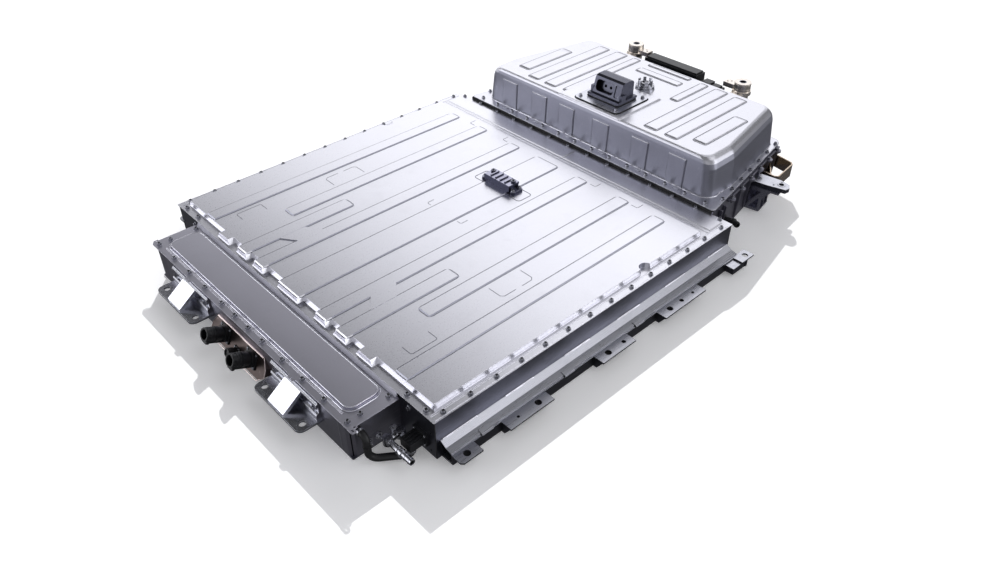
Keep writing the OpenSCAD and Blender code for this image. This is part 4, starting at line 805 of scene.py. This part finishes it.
# front casting: polished rim, screws, barrel rings, pins; its face leans back by the tilt
frontSockets = {
    "tilt": 26.0, "faceY": -148.5, "faceZ": 46.0, "sockets": (-65, 65),
    "rim": [(114, 70), (130, 46), (132, 28), (104, 8), (-104, 8), (-132, 28), (-130, 46), (-114, 70)],
    "rimRadius": 1.2, "rimLift": 0.3, "topRim": (112, 69.4, 3.4),
    "screws": mirrored([(20, -17), (20, 17)]), "screwSeat": 3.6,
    "screwHead": [(3.5, 0.0), (3.5, 1.9), (2.9, 2.5), (1.9, 2.5), (1.9, 1.2)],
    # radius, distance from the face and thickness of the rings round a barrel
    "barrelRings": [(19.2, 39.0, 3.0), (19.0, 46.0, 3.0), (18.8, 57.0, 2.6)],
    "barrelRadius": 17.6, "ringRounding": (0.4, 0.5),
    "ribCount": 12, "ribArc": (90, 280), "ribCircle": 18.2, "ribStart": 48.6,
    "rib": [(1.0, 0.0), (1.0, 8.4)],
    "coreSeat": 13.6, "core": [(9.0, 0), (9.0, 26), (8.0, 27), (5.0, 27), (5.0, 14)],
    "pin": [(3.4, 13), (3.4, 24), (2.4, 25.5)],
    "signalZ": 29.0, "signalRing": [(11.2, 22), (12.3, 22.4), (12.3, 26.6), (11.2, 27)],
    "signalCore": [(5.5, 12), (5.5, 24), (4.8, 25)],
    "signalScrews": mirrored([(10, -10), (10, 10)]), "signalSeat": 2.7,
    "signalHead": [(2.4, 0), (2.4, 1.6), (1.8, 2.0)],
}


def makeFrontSockets(values):
    tilt = math.radians(values["tilt"])
    out = Vector((0, -math.cos(tilt), math.sin(tilt)))
    rise = Vector((0, math.sin(tilt), math.cos(tilt)))

    def onFace(x, z, u=0.0, v=0.0, n=0.0):  # u across, v up the face, n out of it
        y = values["faceY"] - (values["faceZ"] - z) * math.tan(tilt)
        return Vector((x + u, y, z)) + rise * v + out * n

    bm = bmesh.new()
    swept(bm, [tuple(onFace(x, z, n=values["rimLift"])) for x, z in values["rim"]],
          roundRod(values["rimRadius"], 8), up=out)
    x, z, r = values["topRim"]
    swept(bm, [tuple(onFace(-x, z)), tuple(onFace(x, z))], roundRod(r, 10), closed=False, up=out)
    addPiece("casting_rim", bm, "polishedRim")
    screws, plastic, pins = (bmesh.new() for _ in range(3))
    inner = values["barrelRadius"]
    side, end = values["ringRounding"]
    first, sweep = values["ribArc"]
    for x in values["sockets"]:
        for u, v in values["screws"]:
            base = onFace(x, values["faceZ"], u, v, values["screwSeat"])
            turned(screws, values["screwHead"], base, out, 16)
        for radius, n, thick in values["barrelRings"]:
            base = onFace(x, values["faceZ"], n=n)
            turned(plastic, [(inner, 0), (radius - side, 0), (radius, end), (radius, thick - end),
                             (radius - side, thick), (inner, thick)], base, out, 32, closed=True)
        for i in range(values["ribCount"]):
            a = math.radians(first + sweep * i / (values["ribCount"] - 1))
            u, v = math.cos(a) * values["ribCircle"], math.sin(a) * values["ribCircle"]
            turned(plastic, values["rib"], onFace(x, values["faceZ"], u, v, values["ribStart"]), out, 8)
        base = onFace(x, values["faceZ"], n=values["coreSeat"])
        turned(plastic, values["core"], base, out, 24)
        turned(pins, values["pin"], base, out, 16)
    base = onFace(0, values["signalZ"])
    turned(plastic, values["signalRing"], base, out, 24)
    turned(plastic, values["signalCore"], base, out, 16)
    for u, v in values["signalScrews"]:
        base = onFace(0, values["signalZ"], u, v, values["signalSeat"])
        turned(screws, values["signalHead"], base, out, 12)
    addPiece("socket_screws", screws, "zincPlate")
    addPiece("socket_rings", plastic, "mouldedNylon")
    addPiece("socket_pins", pins, "nickelPlate")


makeFrontSockets(frontSockets)
print("front sockets dressed")

# coolant corner: clamps on the hose, collars on the nozzle, ribs and screws on the block, earth studs
coolantCorner = {
    "clamps": [((477.0, -112, 84), toRight), ((556.0, -34, 23.5), toTop)],
    "clampRing": [(8.8, 0), (10.3, 0), (10.6, 0.6), (10.6, 6.4), (10.3, 7), (8.8, 7)],
    "clampMiddle": 3.5, "earSeat": 9.8, "ear": [(2.6, 0), (2.6, 3.6), (2.0, 4.4)],
    "nozzle": (509.0, -63, 44), "nozzleRadius": 7.6,
    # distance along the nozzle, radius and thickness
    "collars": [(47, 9.6, 3.5), (66, 9.2, 2.0), (80, 8.9, 2.0)],
    "flangeY": -4, "flangeScrews": [(529, 31), (529, 57), (567, 31), (567, 57)],
    "flangeHead": [(3.2, -0.4), (3.2, 2.0), (2.6, 2.6)],
    "studs": [(470, -88, 27), (470, -62, 27)], "studWasher": [(9.5, -0.6), (9.5, 1.6), (8.8, 2.0)],
    "studNut": [(6.6, 1.8), (6.6, 6.8), (6.0, 7.4)], "stud": [(3.0, 7.0), (3.0, 14.0), (2.3, 15.0)],
    "ribX": 533, "ribPitch": 9, "ribCount": 4, "ribWidth": 3, "ribCut": 1, "ribRun": (-41, -7),
    "ribHeights": (55.6, 58.2),
}


def makeCoolantCorner(values):
    bm = bmesh.new()
    for base, axis in values["clamps"]:
        turned(bm, values["clampRing"], base, axis, 28, closed=True)
        up = Vector(toTop if axis[0] else toFront)
        ear = Vector(base) + Vector(axis) * values["clampMiddle"] + up * values["earSeat"]
        turned(bm, values["ear"], ear, up, 6)
    x, y, z = values["nozzle"]
    inner = values["nozzleRadius"]
    for along, radius, thick in values["collars"]:
        collar = [(inner, 0), (radius, 0), (radius, thick), (inner, thick)]
        turned(bm, collar, (x + along, y, z), toRight, 24, closed=True)
    for x, z in values["flangeScrews"]:
        turned(bm, values["flangeHead"], (x, values["flangeY"], z), toFront, 12)
    for base in values["studs"]:
        turned(bm, values["studWasher"], base, toRight, 24)
        turned(bm, values["studNut"], base, toRight, 6)
        turned(bm, values["stud"], base, toRight, 14)
    addPiece("coolant_clamps", bm, "nickelPlate")
    bm = bmesh.new()
    for i in range(values["ribCount"]):
        x = values["ribX"] + values["ribPitch"] * i
        outline = cutCorners(x, x + values["ribWidth"], *values["ribRun"], values["ribCut"])
        prism(bm, outline, *values["ribHeights"])
    addPiece("coolant_block_ribs", bm, "fineNylon")


makeCoolantCorner(coolantCorner)

# nose corner: slotted tab, joints in the wall, seams at the case's corners, bolts in its front wall
noseCorner = {
    "tab": (472, 496, -141, -127), "tabHeights": (108.4, 110.8), "tabRadius": 4,
    "slot": (482, 492, -136.5, -131.5), "slotRadius": 2.4,
    "joints": mirrored([(430, -135.2)]), "jointHeights": (8, 104),
    "jointSection": [(-2, 0.6), (-1.2, -0.9), (1.2, -0.9), (2, 0.6)],
    "seams": mirrored([(597.0, 4.2)]), "seamHeights": (4, 117), "seamRadius": 1.1,
    "wallY": 4, "wallBolts": [(505, 96), (-505, 96), (-545, 44), (-505, 44)],
    "wallWasher": [(7.5, -0.5), (7.5, 1.4), (7.0, 1.8)], "wallHead": [(5.4, 1.6), (5.4, 6.2), (4.8, 6.8)],
}


def makeNoseTab(values):
    bm = bmesh.new()
    low, high = values["tabHeights"]
    outer = roundedLoop(*values["tab"], 0, values["tabRadius"], steps=3)
    inner = roundedLoop(*values["slot"], 0, values["slotRadius"], steps=3)
    rings = [[bm.verts.new(at(x, y, z)) for x, y, _ in loop]
             for loop, z in ((outer, low), (outer, high), (inner, high), (inner, low))]
    for k in range(len(rings)):
        a, b = rings[k], rings[(k + 1) % len(rings)]
        for i in range(len(outer)):
            j = (i + 1) % len(outer)
            bm.faces.new((a[i], a[j], b[j], b[i]))
    addPiece("nose_lid_tab", bm, "anodisedSheet")


def makeNoseCorner(values):
    joints, seams, bolts = (bmesh.new() for _ in range(3))
    for x, y in values["joints"]:
        prism(joints, [(x + dx, y + dy) for dx, dy in values["jointSection"]], *values["jointHeights"])
    rod = roundRod(values["seamRadius"], 8)
    for x, y in values["seams"]:
        prism(seams, [(x + dx, y + dy) for dx, dy in rod], *values["seamHeights"])
    for x, z in values["wallBolts"]:
        base = (x, values["wallY"], z)
        turned(bolts, values["wallWasher"], base, toFront)
        turned(bolts, values["wallHead"], base, toFront, 6)
    addPiece("nose_wall_joints", joints, "machinedBracket")
    addPiece("case_corner_seams", seams, "foamedRubber")
    addPiece("front_wall_bolts", bolts, "zincPlate")


makeNoseTab(noseCorner)
makeNoseCorner(noseCorner)
print("nose and coolant corner dressed")

# rear mounts: steel bush in the bore, rings round the boss
rearMounts = {
    "x": 232, "y": 1675, "top": 265, "boss": 27.6,
    "bush": [(10.9, -36), (10.9, 0.2), (12.8, 0.2), (12.8, -2.0)],
    "rings": [(28.9, -6.0, 2.4), (28.7, -22.0, 2.0)],
}


def makeRearMounts(values):
    bush, rings = bmesh.new(), bmesh.new()
    boss = values["boss"]
    for side in (-1, 1):
        base = (side * values["x"], values["y"], values["top"])
        turned(bush, values["bush"], base, toTop, 28, closed=True)
        for radius, start, thick in values["rings"]:
            ring = [(boss, start), (radius, start), (radius, start + thick), (boss, start + thick)]
            turned(rings, ring, base, toTop, 32, closed=True)
    addPiece("mount_bushes", bush, "nickelPlate")
    addPiece("mount_rings", rings, "tintedCasting")


makeRearMounts(rearMounts)

# cast ribs on the rear frame's side walls, below the scalloped flange
rearRibs = {
    "low": 12.0, "high": 114.0, "sunk": 1, "foot": 5.0, "reach": 13.0, "half": 2.6,
    "places": [1166, 1196, 1304, 1376, 1448, 1520, 1592],
}


def makeRearRibs(values):
    bm = bmesh.new()
    low, high = values["low"], values["high"]
    for side in (-1, 1):
        for y in values["places"]:
            x = sideAt(y)
            outline = [(x - values["sunk"], low), (x + values["foot"], low),
                       (x + values["reach"], high), (x - values["sunk"], high)]
            prism(bm, outline, y - values["half"], y + values["half"], lambda a, b, h: (side * a, h, b))
    addPiece("rear_frame_ribs", bm, "castFrame")


makeRearRibs(rearRibs)

# side arms: steel ring round the body bolt's hole, a dark disc under it as painted shade in the hole, two
# rivets in the top plate
sideArms = {
    "hole": (563, 1441, 102), "boreShade": [(8.3, -3.4), (8.3, -7.0)],
    "ring": [(8.2, -0.6), (8.2, 1.0), (12.5, 1.0), (13.2, 0.4), (13.2, -0.6)],
    "rivets": [(-17, -16), (-8, 16)], "rivet": [(3.6, -0.5), (3.6, 0.8), (2.4, 1.8)],
}


def makeSideArms(values):
    rings, boreShades = bmesh.new(), bmesh.new()
    x, y, z = values["hole"]
    for side in (-1, 1):
        turned(rings, values["ring"], (side * x, y, z), toTop, 28, closed=True)
        # dark disc in the hole: painted shade
        turned(boreShades, values["boreShade"], (side * x, y, z), toTop, 24)
        for dx, dy in values["rivets"]:
            turned(rings, values["rivet"], (side * (x + dx), y + dy, z), toTop, 14)
    addPiece("side_arm_rings", rings, "extrudedRail")
    addPiece("side_arm_bore_shades", boreShades, "foamedRubber")


makeSideArms(sideArms)

# vent valve: cap in the open middle and a crown of pins; service plug: rims on its base plate's
# screws, seals round the base plate and the plug
coverFittings = {
    "valve": (20, 1412), "valveCap": [(7.5, 8), (7.5, 16), (6.5, 17), (3.0, 17), (3.0, 12)],
    "pinCount": 12, "pinCircle": 28.2, "pin": [(1.5, 8), (1.5, 12.6), (1.0, 13.0)],
    "plugScrews": mirrored([(76, 1196), (76, 1330)]), "plugSeat": 264.5,
    "seals": [(-93.2, 93.2, 1177.8, 1348.2, 260.6, 17), (-67.2, 67.2, 1213.8, 1312.2, 264.5, 11)],
    "sealWidth": 3.4, "sealHeight": 1.6,
}


def makeCoverFittings(values):
    valve, rims, seals = (bmesh.new() for _ in range(3))
    x, y = values["valve"]
    turned(valve, values["valveCap"], (x, y, levels["coverTop"]), toTop)
    for i in range(values["pinCount"]):
        a = 2 * math.pi * i / values["pinCount"]
        px, py = x + values["pinCircle"] * math.cos(a), y + values["pinCircle"] * math.sin(a)
        turned(valve, values["pin"], (px, py, levels["coverTop"]), toTop, 8)
    for x, y in values["plugScrews"]:
        turned(rims, boltHead["rim"], (x, y, values["plugSeat"]), toTop, 16, closed=True)
    for x0, x1, y0, y1, z, radius in values["seals"]:
        loop = roundedLoop(x0, x1, y0, y1, z, radius, steps=8)
        swept(seals, loop, halfRound(values["sealWidth"], values["sealHeight"]))
    addPiece("vent_valve_cap", valve, "nickelPlate")
    addPiece("plug_screw_rims", rims, "zincPlate")
    addPiece("plug_base_seals", seals, "foamedRubber")


makeCoverFittings(coverFittings)
print("mounts, arms, valve and plug dressed")
